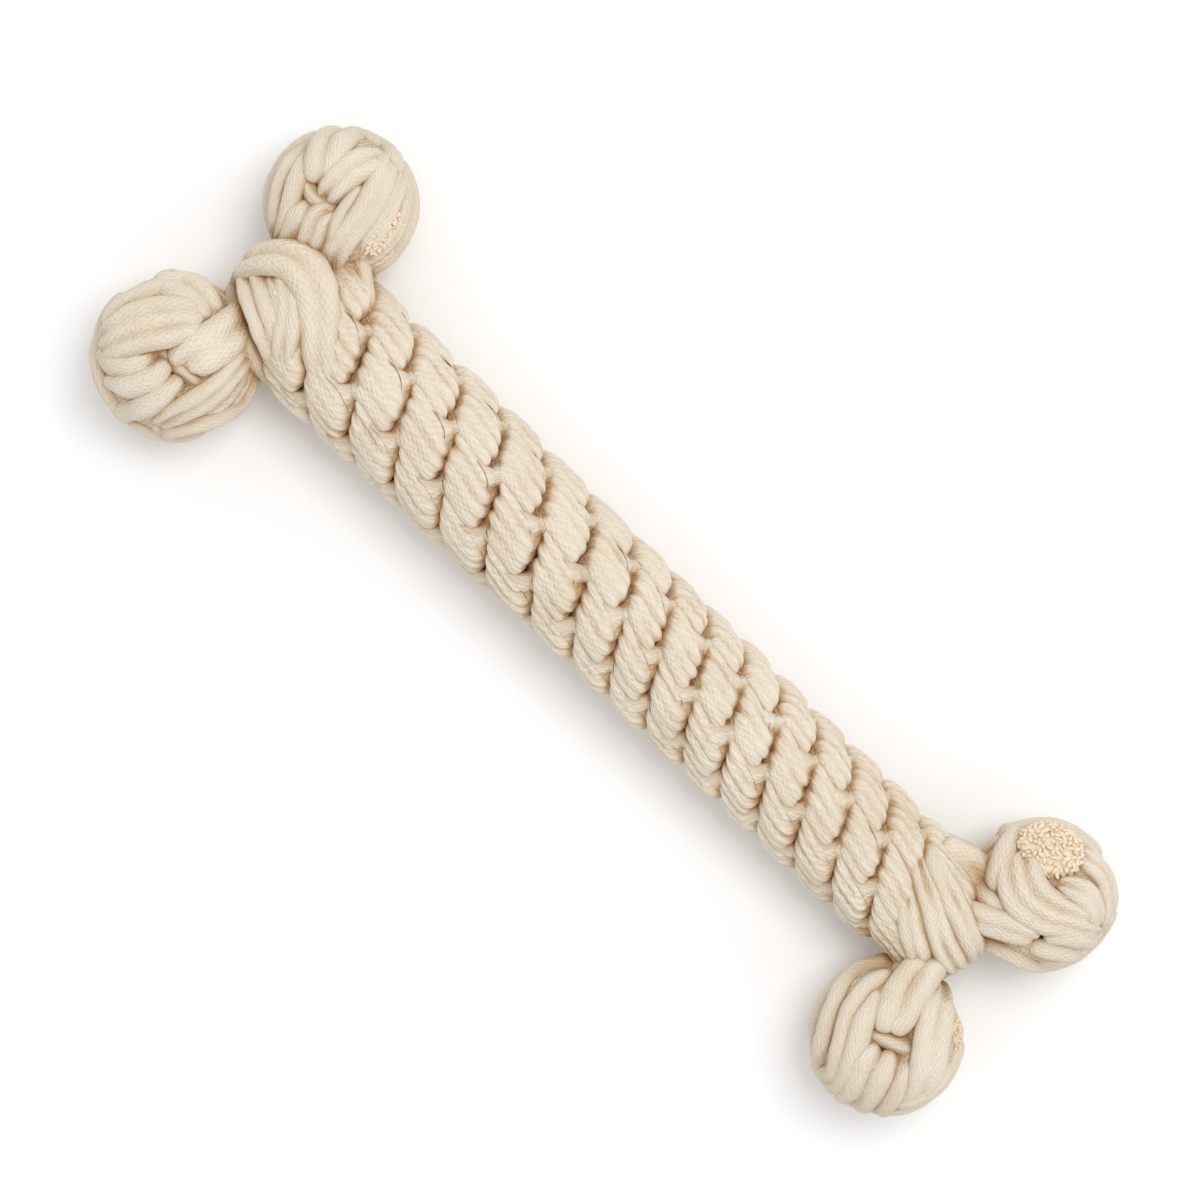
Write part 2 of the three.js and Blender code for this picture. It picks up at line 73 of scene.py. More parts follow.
picture_up = Vector((-math.sin(PICTURE_TURN), math.cos(PICTURE_TURN), 0))
off_right = (PICTURE_PIXELS / 2 - PICTURE_CENTRE[0]) * PIXEL
off_up = (PICTURE_CENTRE[1] - PICTURE_PIXELS / 2) * PIXEL
camera_data = bpy.data.cameras.new("camera")
camera_data.lens = LENS * MILLIMETRES
camera_data.sensor_width = SENSOR * MILLIMETRES
camera = bpy.data.objects.new("camera", camera_data)
bpy.context.scene.collection.objects.link(camera)
camera_distance = LENS * PICTURE_PIXELS * PIXEL / SENSOR
camera.location = level_origin + picture_right * off_right + picture_up * off_up
camera.location.z += camera_distance
camera.rotation_euler = (0, 0, PICTURE_TURN)
camera_data.clip_start = camera_distance / 100
camera_data.clip_end = camera_distance * 20
bpy.context.scene.camera = camera


# The plait. Four soft strands of cotton cords are crowned one over the other, crown after
# crown, round an empty middle. A strand is four cords side by side that press each other
# flat, so it shows creases along its length and fine wrinkles of yarn across.
def fill(node, inputs):
    """Puts a wire or a plain value into each of a node's inputs."""
    for slot, value in inputs.items():
        if isinstance(value, Wire):
            value.tree.links.new(value.socket, node.inputs[slot])
        else:
            node.inputs[slot].default_value = value


def new_node(tree, kind, inputs, output=0, **settings):
    """Adds a node with its settings and its inputs, and gives the wire out of it."""
    node = tree.nodes.new(kind)
    for label, value in settings.items():
        setattr(node, label, value)
    fill(node, inputs)
    return Wire(tree, node.outputs[output])


class Wire:
    """What travels between nodes, so that a node tree can be written as sums."""

    def __init__(self, tree, socket):
        self.tree = tree
        self.socket = socket

    def node(self, operation, *others):
        inputs = dict(enumerate((self, *others)))
        return new_node(self.tree, "ShaderNodeMath", inputs, operation=operation)

    def __add__(self, other):
        return self.node("ADD", other)

    def __sub__(self, other):
        return self.node("SUBTRACT", other)

    def __mul__(self, other):
        return self.node("MULTIPLY", other)

    def __truediv__(self, other):
        return self.node("DIVIDE", other)

    def __pow__(self, other):
        return self.node("POWER", other)


def joined(tree, x, y, z):
    """The vector of three numbers."""
    return new_node(tree, "ShaderNodeCombineXYZ", {0: x, 1: y, 2: z})


def parted(tree, vector):
    """The three numbers of a vector."""
    first = new_node(tree, "ShaderNodeSeparateXYZ", {0: vector})
    return [Wire(tree, output) for output in first.socket.node.outputs]


def moved_by(tree, vector, other):
    return new_node(tree, "ShaderNodeVectorMath", {0: vector, 1: other}, "Vector", operation="ADD")


def times(tree, vector, number):
    inputs = {0: vector, "Scale": number}
    return new_node(tree, "ShaderNodeVectorMath", inputs, "Vector", operation="SCALE")


def noise_wire(tree, where, detail, scale=1.0):
    """Soft unevenness from 0 to 1, about 0.5."""
    return new_node(tree, "ShaderNodeTexNoise", {"Scale": scale, "Detail": detail, "Vector": where})


def node_group(name, inputs, output):
    """A Geometry Nodes tree with named inputs, from which one geometry comes out."""
    group = bpy.data.node_groups.new(name, "GeometryNodeTree")
    for label, kind, start in inputs:
        made = group.interface.new_socket(name=label, in_out="INPUT", socket_type=kind)
        if start is not None:
            made.default_value = start
    group.interface.new_socket(name=output, in_out="OUTPUT", socket_type="NodeSocketGeometry")
    return group


def tree_inputs(tree):
    """Wires from the tree's named inputs."""
    return {output.name: Wire(tree, output) for output in tree.nodes.new("NodeGroupInput").outputs}


def finish_tree(tree, geometry, material):
    """What comes out of a tree: smooth faces, made real and dressed in the material."""
    smooth = new_node(tree, "GeometryNodeSetShadeSmooth", {"Geometry": geometry})
    whole = new_node(tree, "GeometryNodeRealizeInstances", {"Geometry": smooth})
    dressed = new_node(tree, "GeometryNodeSetMaterial", {"Geometry": whole, "Material": material})
    fill(tree.nodes.new("NodeGroupOutput"), {0: dressed})


# The rope's skin is laid round a line of places: rings of points, pushed in at the creases
# between the cords, swollen a little here and there, and narrowed to nothing at both ends.
rope_skin = node_group("rope skin", (
    ("Line", "NodeSocketGeometry", None),
    ("Sides", "NodeSocketInt", 48),
    ("Cords", "NodeSocketFloat", 3.0),
    ("Crease", "NodeSocketFloat", 0.3),
    ("Wander", "NodeSocketFloat", 0.12),
    ("Flatness", "NodeSocketFloat", 0.3),
    ("Swell", "NodeSocketFloat", 0.0006),
    ("Wrinkle", "NodeSocketFloat", 0.0003),
    ("Girth", "NodeSocketFloat", 0.036),
    ("Seed", "NodeSocketFloat", 0.0),
    ("Table", "NodeSocketFloat", 0.0),
    ("Cotton", "NodeSocketMaterial", None),
), "Rope")
FACE_SPREAD = 1.25
EDGE_TIGHTNESS = 0.6
CREASE_DRIFT_PER_METRE = 45.0
CREASE_CHANGE_PER_METRE = 70.0
CREASE_SEED_STEP = 5.3
CREASE_LAYER = 4.0
CREASE_SHALLOWEST = 0.3
CREASE_GAIN = 3.0
CREASE_SHARPNESS = 3.5
SWELLS_PER_METRE = 110.0
WRINKLES_PER_METRE_AROUND = 380.0
WRINKLES_PER_METRE_ALONG = 150.0
WRINKLE_MIDDLE = 0.1
WRINKLE_GAIN = 4.0
SEAM = 1e-6


def build_rope_skin(tree):
    given = tree_inputs(tree)

    def position():
        return new_node(tree, "GeometryNodeInputPosition", {})

    def kept(name, kind="FLOAT"):
        return new_node(tree, "GeometryNodeInputNamedAttribute", {"Name": name}, "Attribute",
                        data_type=kind)

    def store(before, name, value, kind="FLOAT", domain="POINT"):
        inputs = {"Geometry": before, "Name": name, "Value": value}
        return new_node(tree, "GeometryNodeStoreNamedAttribute", inputs, data_type=kind, domain=domain)

    sides, seed = given["Sides"], given["Seed"]
    stations = new_node(tree, "GeometryNodeAttributeDomainSize", {"Geometry": given["Line"]},
                        "Point Count", component="MESH")
    grid = new_node(tree, "GeometryNodeMeshGrid", {"Vertices X": stations, "Vertices Y": sides + 1})
    index = new_node(tree, "GeometryNodeInputIndex", {})
    station = (index / (sides + 1)).node("FLOOR")
    turn = (index - station * (sides + 1)) / sides

    def from_line(value, kind="FLOAT"):
        inputs = {"Geometry": given["Line"], "Value": value, "Index": station}
        return new_node(tree, "GeometryNodeSampleIndex", inputs, "Value", data_type=kind, domain="POINT")

    place = from_line(position(), "FLOAT_VECTOR")
    across = from_line(kept("across", "FLOAT_VECTOR"), "FLOAT_VECTOR")
    outward = from_line(kept("outward", "FLOAT_VECTOR"), "FLOAT_VECTOR")
    half_width = from_line(kept("half_width"))
    half_thickness = from_line(kept("half_thickness"))
    bend = from_line(kept("bend"))
    lean = from_line(kept("lean"))
    along = from_line(kept("along"))

    # Section: a soft oblong, with the seam of the skin in the middle of its inner face. A flat
    # section has long faces and tight edges, and a round one none.
    flat = given["Flatness"]
    angle = turn * (2 * math.pi) - math.pi / 2
    cosine, sine = angle.node("COSINE"), angle.node("SINE")
    face = (cosine * FACE_SPREAD).node("MINIMUM", 1.0).node("MAXIMUM", -1.0)
    side = face * flat + cosine * (flat * -1.0 + 1.0)
    height = sine.node("SIGN") * (sine.node("ABSOLUTE") ** (flat * -EDGE_TIGHTNESS + 1.0))

    # Creases between the cords wander along the rope and are deep in one place, shallow in another
    drift = noise_wire(tree, joined(tree, along * CREASE_DRIFT_PER_METRE, seed, 0.0), 1.0) - 0.5
    lobe = (side + drift * given["Wander"] * 2.0 + 1.0) * 0.5 * given["Cords"]
    crease_seed = lobe.node("ROUND") * CREASE_SEED_STEP + seed
    crease_place = joined(tree, along * CREASE_CHANGE_PER_METRE, crease_seed, CREASE_LAYER)
    deep = (noise_wire(tree, crease_place, 1.0) - CREASE_SHALLOWEST) * CREASE_GAIN
    deep = deep.node("MAXIMUM", CREASE_SHALLOWEST).node("MINIMUM", 1.0)
    groove = ((lobe * math.pi).node("COSINE").node("ABSOLUTE")) ** CREASE_SHARPNESS
    pressed = groove * deep * given["Crease"]
    height = height * (pressed * -1.0 + 1.0)

    sideways = half_width * side
    lifted = half_thickness * height - sideways ** 2.0 * bend
    shift = moved_by(tree, times(tree, across, sideways), times(tree, outward, lifted))
    leaning = ((side * lean.node("SIGN")).node("MAXIMUM", 0.0) ** 2.0) * lean.node("ABSOLUTE") * -1.0
    surface = moved_by(tree, moved_by(tree, place, shift), joined(tree, leaning, 0.0, 0.0))
    skin = new_node(tree, "GeometryNodeSetPosition", {"Geometry": grid, "Position": surface})
    skin = store(skin, "around", turn * given["Girth"])
    skin = store(skin, "length", along)
    # The crease mask; the cotton material paints shade into the creases with it
    skin = store(skin, "hollow", groove * deep)
    skin = store(skin, "UVMap", joined(tree, kept("around"), kept("length"), 0.0), "FLOAT2", "CORNER")
    skin = new_node(tree, "GeometryNodeMergeByDistance", {"Geometry": skin, "Distance": SEAM})

    # Swelling of the soft rope, and wrinkles of its yarn, longer along the rope than across
    spot = moved_by(tree, position(), joined(tree, seed, 0.0, 0.0))
    swell = (noise_wire(tree, spot, 1.0, SWELLS_PER_METRE) - 0.5) * given["Swell"] * 2.0
    yarn_place = joined(tree, kept("around") * WRINKLES_PER_METRE_AROUND,
                        kept("length") * WRINKLES_PER_METRE_ALONG, seed)
    ridge = (noise_wire(tree, yarn_place, 2.0) - 0.5).node("ABSOLUTE") - WRINKLE_MIDDLE
    wrinkle = ridge * given["Wrinkle"] * WRINKLE_GAIN
    pushed = times(tree, new_node(tree, "GeometryNodeInputNormal", {}), swell + wrinkle)
    skin = new_node(tree, "GeometryNodeSetPosition", {"Geometry": skin, "Offset": pushed})

    # The rope lies flat on the table where it would pass below it
    x, y, z = parted(tree, position())
    lying = joined(tree, x, y, z.node("MAXIMUM", given["Table"]))
    skin = new_node(tree, "GeometryNodeSetPosition", {"Geometry": skin, "Position": lying})
    finish_tree(tree, skin, given["Cotton"])


build_rope_skin(rope_skin)

# The yarn's look. The braid's waves are in radians for each metre round the rope and along it,
# and the other patterns in changes for each metre.
COTTON_PALE = (0.84, 0.752, 0.62)
# The warm colour below is both painted shade, in creases and where cotton is hemmed in, and the cotton's
# own warmer tone in patches
COTTON_TONE_AND_SHADE = (0.58, 0.39, 0.2)
# A painted shade colour for cotton deep between the strands
PAINTED_DEEP_SHADE = (0.66, 0.42, 0.20)
COTTON_ROUGHNESS = 0.92
COTTON_GLOSS = 0.25
COTTON_FUZZ = 0.15
COTTON_FUZZ_ROUGHNESS = 0.5
COTTON_RELIEF = 0.5
RELIEF_DEPTH = 0.0005
BRAID_AROUND = 5200.0
BRAID_ALONG = 2300.0
BRAID_UNEVENNESS = 7.0
UNEVEN_AROUND = 300.0
UNEVEN_ALONG = 220.0
FIBRE_AROUND = 2600.0
FIBRE_ALONG = 1200.0
FIBRE_LAYER = 3.0
FOLD_AROUND = 760.0
FOLD_ALONG = 330.0
FOLD_UNEVENNESS = 1.4
FOLD_LAYER = 9.0
FOLD_HIGHEST = 0.1
BRAID_HEIGHT = 1.7
FIBRE_HEIGHT = 0.35
FOLD_HEIGHT = 5.0
PATCHES_PER_METRE = 55.0
# Painted shade: how far the occlusion looks and with how many samples, and how strongly hemmed-in cotton
# and the creases are painted warm and darker
SHADE_REACH = 0.012
SHADE_SAMPLES = 4
SHADE_GAIN = 1.2
SHADE_LEAST = 0.3
SHADE_TINT = 2.0
CREASE_SHADE_TINT = 0.3
PATCH_TINT = 0.6
FIBRE_TINT = 0.25
LEAST_TINT = 0.1
# How fast the painted deep shade comes in as the occlusion grows
DEEP_SHADE_GAIN = 2.4
DEEP_SHADE_START = 1.1


def cotton_material(name, pale, tone_and_shade, relief):
    """Undyed cotton yarn: cream, with warm shade painted into its creases and where it is hemmed in,
    warmer in soft patches of its own, and with a fine braid of yarn in relief.
    """
    material = bpy.data.materials.new(name)
    material.use_nodes = True
    tree = material.node_tree
    around, length, _ = parted(tree, new_node(tree, "ShaderNodeUVMap", {}, uv_map="UVMap"))
    place = new_node(tree, "ShaderNodeTexCoord", {}, "Object")

    # Braid: two families of yarn that lean opposite ways, with uneven spacing
    uneven = noise_wire(tree, joined(tree, around * UNEVEN_AROUND, length * UNEVEN_ALONG, 0.0), 2.0)
    lean = around * BRAID_AROUND
    rise = length * BRAID_ALONG
    left_yarn = ((lean + rise + uneven * BRAID_UNEVENNESS).node("SINE") + 1.0) * 0.5
    right_yarn = ((lean * -1.0 + rise + uneven * BRAID_UNEVENNESS).node("SINE") + 1.0) * 0.5
    braid = left_yarn.node("MAXIMUM", right_yarn)
    fibre = noise_wire(tree, joined(tree, around * FIBRE_AROUND, length * FIBRE_ALONG, FIBRE_LAYER), 3.0)
    fold_place = joined(tree, around * FOLD_AROUND + uneven * FOLD_UNEVENNESS,
                        length * FOLD_ALONG + uneven * FOLD_UNEVENNESS, FOLD_LAYER)
    fold = (noise_wire(tree, fold_place, 2.0) - 0.5).node("ABSOLUTE").node("MINIMUM", FOLD_HIGHEST)
    height = braid * BRAID_HEIGHT + fibre * FIBRE_HEIGHT + fold * FOLD_HEIGHT
    raised = {"Strength": relief, "Distance": RELIEF_DEPTH, "Height": height}
    bump = new_node(tree, "ShaderNodeBump", raised)

    # Colour: warm, darker shade painted in the creases and between the strands, where occlusion finds
    # cotton close by, and the cotton's own warmer tone in soft patches and fibres
    hollow = new_node(tree, "ShaderNodeAttribute", {}, "Fac", attribute_name="hollow")
    patch = noise_wire(tree, place, 2.0, PATCHES_PER_METRE)
    open_air = new_node(tree, "ShaderNodeAmbientOcclusion", {"Distance": SHADE_REACH}, "AO",
                        samples=SHADE_SAMPLES)
    depth = ((open_air * -1.0 + 1.0) * SHADE_GAIN - SHADE_LEAST).node("MAXIMUM", 0.0)
    tint = depth * SHADE_TINT + hollow * CREASE_SHADE_TINT + (patch - 0.5) * PATCH_TINT
    tint = (tint + (fibre - 0.5) * FIBRE_TINT + LEAST_TINT).node("MAXIMUM", 0.0).node("MINIMUM", 1.0)
    colours = {"Factor": tint, "A": (*pale, 1.0), "B": (*tone_and_shade, 1.0)}
    colour = new_node(tree, "ShaderNodeMix", colours, "Result", data_type="RGBA")

    # Painted shade: deep between the strands the cotton is seen only by light that came off more cotton,
    # so its colour is painted a darker brown there
    deep_shade = (open_air * -DEEP_SHADE_GAIN + DEEP_SHADE_START).node("MAXIMUM", 0.0).node("MINIMUM", 1.0)
    colours = {"Factor": deep_shade, "A": colour, "B": (*PAINTED_DEEP_SHADE, 1.0)}
    colour = new_node(tree, "ShaderNodeMix", colours, "Result", data_type="RGBA")
    fill(tree.nodes["Principled BSDF"], {
        "Base Color": colour,
        "Roughness": COTTON_ROUGHNESS,
        "Specular IOR Level": COTTON_GLOSS,
        "Sheen Weight": COTTON_FUZZ,
        "Sheen Roughness": COTTON_FUZZ_ROUGHNESS,
        "Normal": bump,
    })
    return material


cotton = cotton_material("natural cotton rope", COTTON_PALE, COTTON_TONE_AND_SHADE, COTTON_RELIEF)


def eased(share):
    """A share from 0 to 1 that starts and ends gently."""
    return share * share * (3 - 2 * share)


def smooth_line(places, values, spacing):
    """A line through the places, with the values at each place carried along it. Spacing is one
    distance between points, or one for each stretch between two places."""
    spacing = np.broadcast_to(spacing, len(places) - 1)
    places = np.asarray(places, float)
    values = np.asarray(values, float)
    padded = np.vstack([2 * places[0] - places[1], places, 2 * places[-1] - places[-2]])
    steps_apart = np.sqrt(np.linalg.norm(np.diff(padded, axis=0), axis=1))
    stations = np.concatenate([[0], np.cumsum(steps_apart)])
    line, carried = [], []
    for i in range(1, len(padded) - 2):
        t0, t1, t2, t3 = stations[i - 1:i + 3]
        p0, p1, p2, p3 = padded[i - 1:i + 3]
        steps = max(2, int(math.ceil(np.linalg.norm(p2 - p1) / spacing[i - 1])))
        for t in np.linspace(t1, t2, steps, endpoint=False):
            a1 = p0 * (t1 - t) / (t1 - t0) + p1 * (t - t0) / (t1 - t0)
            a2 = p1 * (t2 - t) / (t2 - t1) + p2 * (t - t1) / (t2 - t1)
            a3 = p2 * (t3 - t) / (t3 - t2) + p3 * (t - t2) / (t3 - t2)
            b1 = a1 * (t2 - t) / (t2 - t0) + a2 * (t - t0) / (t2 - t0)
            b2 = a2 * (t3 - t) / (t3 - t1) + a3 * (t - t1) / (t3 - t1)
            line.append(b1 * (t2 - t) / (t2 - t1) + b2 * (t - t1) / (t2 - t1))
            share = eased((t - t1) / (t2 - t1))
            carried.append(values[i - 1] * (1 - share) + values[i] * share)
    line.append(places[-1])
    carried.append(values[-1])
    return np.array(line), np.array(carried)


def unit(vectors):
    return vectors / np.linalg.norm(vectors, axis=1, keepdims=True)


def grown(name, mesh, group, inputs):
    """Runs a tree on a mesh and keeps what comes out as a plain piece."""
    source = bpy.data.objects.new(name + "_source", mesh)
    bpy.context.scene.collection.objects.link(source)
    growth = source.modifiers.new(group.name, "NODES")
    growth.node_group = group
    identifiers = {item.name: item.identifier for item in group.interface.items_tree}
    for label, value in inputs.items():
        growth[identifiers[label]] = value
    source.update_tag()
    shape = source.evaluated_get(bpy.context.evaluated_depsgraph_get())
    finished = bpy.data.meshes.new_from_object(shape)
    finished.name = name
    piece = bpy.data.objects.new(name, finished)
    bpy.context.scene.collection.objects.link(piece)
    bpy.data.objects.remove(source)
    return piece


CORD_TIP = 0.003
TABLE_LEVEL = 0.0


def lay_rope(name, line, across, half_width, half_thickness, slant=0.0, bend=0.0, lean=0.0, **sizes):
    """A rope piece along a line. Across is the direction over its flat face at each place, slant
    pushes one edge along the body's length before the other, bend curves the flat face, and lean
    draws one edge back in a curve."""
    step = np.diff(line, axis=0)
    along = np.concatenate([[0], np.cumsum(np.linalg.norm(step, axis=1))])
    tangent = unit(np.gradient(line, axis=0))
    across = unit(across - tangent * np.sum(tangent * across, axis=1, keepdims=True))
    outward = np.cross(tangent, across)
    across[:, 0] += slant
    from_end = np.minimum(along, along[-1] - along)
    roundness = np.sqrt(np.clip(1 - (1 - np.clip(from_end / CORD_TIP, 0, 1)) ** 2, 0, 1))
    mesh = bpy.data.meshes.new(name)
    mesh.from_pydata(line.tolist(), [(i, i + 1) for i in range(len(line) - 1)], [])
    for label, vectors in (("across", across), ("outward", outward)):
        mesh.attributes.new(label, "FLOAT_VECTOR", "POINT").data.foreach_set("vector", vectors.ravel())
    carried = {
        "half_width": half_width * roundness,
        "half_thickness": half_thickness * roundness,
        "along": along,
        "bend": np.array(np.broadcast_to(bend, len(line))),
        "lean": np.array(np.broadcast_to(lean, len(line))),
    }
    for label, numbers in carried.items():
        mesh.attributes.new(label, "FLOAT", "POINT").data.foreach_set("value", numbers)
    return grown(name, mesh, rope_skin, {**sizes, "Table": TABLE_LEVEL, "Cotton": cotton})


LEFT_DIAMETER = 0.0412
RIGHT_DIAMETER = 0.0356
LEFT_PITCH = 0.00836
RIGHT_PITCH = 0.00684
LEFT_CROWNS = 13
CROWNS = 31
PITCH_CHANGE_CROWNS = 2
LEFT_TURN = math.radians(47.6)
RIGHT_TURN = math.radians(46.7)
MIDDLE_BIGHT = math.radians(-22)
MIDDLE_CROWN = 15
STRANDS = 4
STRAND_WIDTH_SHARE = 1.1
STRAND_THICKNESS = 0.0064
STRAND_INSIDE_WIDTH = 0.0130
STRAND_INSIDE_THICKNESS = 0.0050
END_ROUND = 0.0009
START_ROUND = 0.0022
ROUND_STEPS = (90, 62, 34)
BIGHT_LEVEL_SHARES = (0.4, 0.7)
CLEFT = -0.0004
CROSSING_DEPTH = 0.0018
CROSSING_LIFTS = ((1, -0.3), (3, -0.62))
BIGHT_FORWARD_SHARE = 0.055
LAST_EXTRA = 0.0055
BIGHT_DRIFT = math.radians(7)
DRIFT_BEFORE_SHARE = 0.5
EDGE_SLANT = 0.38
EDGE_LEAN = 0.003
FACE_CURVE = 0.5
OUTSIDE_SPACING = 0.0006
INSIDE_SPACING = 0.003
PLAIT_SEED = 11.3
PLAIT_YARN = {"Sides": 64, "Cords": 4.0, "Crease": 0.38, "Wander": 0.14, "Swell": 0.0006,
              "Wrinkle": 0.00013, "Flatness": 0.62, "Girth": 0.040}
crown_number = np.arange(CROWNS + 3)
crown_share = crown_number / (CROWNS - 1)
past_change = crown_number - LEFT_CROWNS + PITCH_CHANGE_CROWNS
change = eased(np.clip(past_change / (2 * PITCH_CHANGE_CROWNS), 0, 1))
crown_pitch = LEFT_PITCH + (RIGHT_PITCH - LEFT_PITCH) * change
crown_turn = LEFT_TURN + (RIGHT_TURN - LEFT_TURN) * crown_share
crown_diameter = LEFT_DIAMETER + (RIGHT_DIAMETER - LEFT_DIAMETER) * crown_share
crown_x = np.concatenate([[0], np.cumsum(crown_pitch[1:])])
crown_angle = np.concatenate([[0], np.cumsum(crown_turn[1:])])
bight_start = MIDDLE_BIGHT - crown_angle[MIDDLE_CROWN]
flex_x = frame["joints"][0]["pos_m"][0]
first_crown_x = flex_x - crown_x[MIDDLE_CROWN]


def on_body(x, angle, radius):
    across, up = -radius * math.sin(angle), radius * math.cos(angle)
    return (first_crown_x + x, body_axis_y + across, body_axis_z + up)


def across_body(angle, sign):
    return (0, -math.cos(angle) * sign, -math.sin(angle) * sign)


def crown_at(crown):
    """Where a crown lies along the plait; the strands come in from one crown before the first."""
    return crown_x[crown] if crown >= 0 else crown * LEFT_PITCH


def entry_angle(strand, crown):
    return bight_start + crown_angle[crown] + math.pi * crown + 2 * math.pi * strand / STRANDS


def bight_places(strand, crown):
    """The outside run of a strand between two crowns: it comes up from under the shoulders of the
    strands beside it, drifts round the body in a soft S and ends in a round shoulder of its own.
    With each place go its way across, its sizes and the spacing of the line there."""
    pitch = crown_pitch[crown + 1]
    sign = 1 if crown % 2 == 0 else -1
    angle = entry_angle(strand, crown + 1)
    level = (crown_diameter[max(crown, 0)] - STRAND_THICKNESS) / 2
    half_width = level * crown_turn[crown + 1] * STRAND_WIDTH_SHARE / 2
    half_run = pitch - (STRAND_THICKNESS + CLEFT) / 2
    centre = crown_at(crown) + pitch * BIGHT_FORWARD_SHARE
    start = centre - half_run
    end = centre + half_run + (LAST_EXTRA if crown == CROWNS - 2 else 0)
    found = []
    for step in ROUND_STEPS:
        bend = math.radians(step)
        x = start + START_ROUND * (1 - math.sin(bend))
        found.append((x, level - START_ROUND * (1 - math.cos(bend))))
    for share in BIGHT_LEVEL_SHARES:
        found.append((start + (end - start) * share, level))
    for step in ROUND_STEPS[::-1]:
        bend = math.radians(step)
        x = end - END_ROUND * (1 - math.sin(bend))
        found.append((x, level - END_ROUND * (1 - math.cos(bend))))
    places = []
    for x, radius in found:
        share = eased((x - start) / (end - start))
        turned = angle + BIGHT_DRIFT * (share - DRIFT_BEFORE_SHARE)
        values = (*across_body(turned, -sign), half_width, STRAND_THICKNESS / 2,
                  -EDGE_SLANT * sign, FACE_CURVE * sign / level, EDGE_LEAN * sign)
        places.append((on_body(x, turned, radius), values, OUTSIDE_SPACING))
    return places


def crossing_places(strand, crown):
    """The strand's way through the middle of a crown, from one side of the body to the other."""
    sign = 1 if crown % 2 == 0 else -1
    pitch = crown_pitch[crown + 1]
    level = (crown_diameter[crown] - STRAND_THICKNESS) / 2 - CROSSING_DEPTH
    half = crown_turn[crown + 1] / 2
    row_angle = entry_angle(strand, crown) + half
    radius = level * math.sin(half) * math.sqrt(2)
    values = (*across_body(row_angle, sign), STRAND_INSIDE_WIDTH / 2, STRAND_INSIDE_THICKNESS / 2,
              0.0, 0.0, 0.0)
    places = []
    for side, lift in CROSSING_LIFTS:
        place = on_body(crown_x[crown] + pitch * lift, row_angle - side * math.pi / 4, radius)
        places.append((place, values, INSIDE_SPACING))
    return places


for strand in range(STRANDS):
    stops = []
    for crown in range(-1, CROWNS):
        if crown >= 0:
            stops += crossing_places(strand, crown)
        if crown < CROWNS - 1:
            stops += bight_places(strand, crown)
    places, values, spacing = zip(*stops)
    line, carried = smooth_line(places, values, np.minimum(spacing[:-1], spacing[1:]))
    half_width, half_thickness, slant, bend, lean = carried[:, 3:].T
    piece = lay_rope(f"plait_strand_{strand + 1}", line, carried[:, :3], half_width, half_thickness,
                     slant, bend, lean, Seed=PLAIT_SEED * (strand + 1), **PLAIT_YARN)
    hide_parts(*[f"strand_{strand + 1}_{run}_run" for run in ("left", "middle", "right")])
    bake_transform(piece)

# The ends. A strand is bent round each end of the plait, from its top to its underside, and
# more strands fan out beside it. They are soft cotton cords, drawn tight before the knots.
END_CORD_THICKNESS = 0.0058
END_SQUARENESS = 2.7
END_GIRTH = 0.022
END_GIRTH_PER_CORD = 0.005
END_SEED_STEP = 3.0
END_YARN = {"Sides": 52, "Crease": 0.55, "Wander": 0.1, "Swell": 0.0005, "Wrinkle": 0.00022}
CORD_SPACING = 0.0007
# Each end: where its last crown is, which way it points, its radius and how far it reaches
ENDS = {
    "left": (first_crown_x, -1, LEFT_DIAMETER / 2, 0.0255),
    "right": (first_crown_x + crown_x[CROWNS - 1], 1, RIGHT_DIAMETER / 2, 0.0172),
}


def on_end(end, out, up, depth, face):
    """A place inside the round end of the plait, below or above the point seen from above."""
    crown_place, side, radius, reach = ENDS[end]
    across = math.hypot(max(out, 0), up) / depth
    if across > 1:
        out, up, across = out / across, up / across, 1.0
    rise = face * depth * (1 - across ** END_SQUARENESS) ** (1 / END_SQUARENESS)
    return np.array((crown_place + side * out * reach, body_axis_y + up * radius,
                     body_axis_z + rise * radius))


def end_cord(end, name, route, cords, flat, seed):
    """One strand or cord over an end of the plait, laid along its route."""
    crown_place, side, radius, _ = ENDS[end]
    inset = 1 - END_CORD_THICKNESS / 2 / radius
    places = [on_end(end, out, up, inset * depth, face) for out, up, _, depth, face in route]
    line, carried = smooth_line(places, [[stop[2] / 2] for stop in route], CORD_SPACING)
    inward = line - np.array((crown_place, body_axis_y, body_axis_z))
    inward[:, 0] = np.where(inward[:, 0] * side > 0, inward[:, 0], 0)
    across = np.cross(unit(inward), unit(np.gradient(line, axis=0)))
    half = carried[:, 0]
    return lay_rope(name, line, across, half, np.minimum(half, END_CORD_THICKNESS / 2), Cords=cords,
                    Flatness=flat, Girth=END_GIRTH + END_GIRTH_PER_CORD * cords, Seed=seed, **END_YARN)


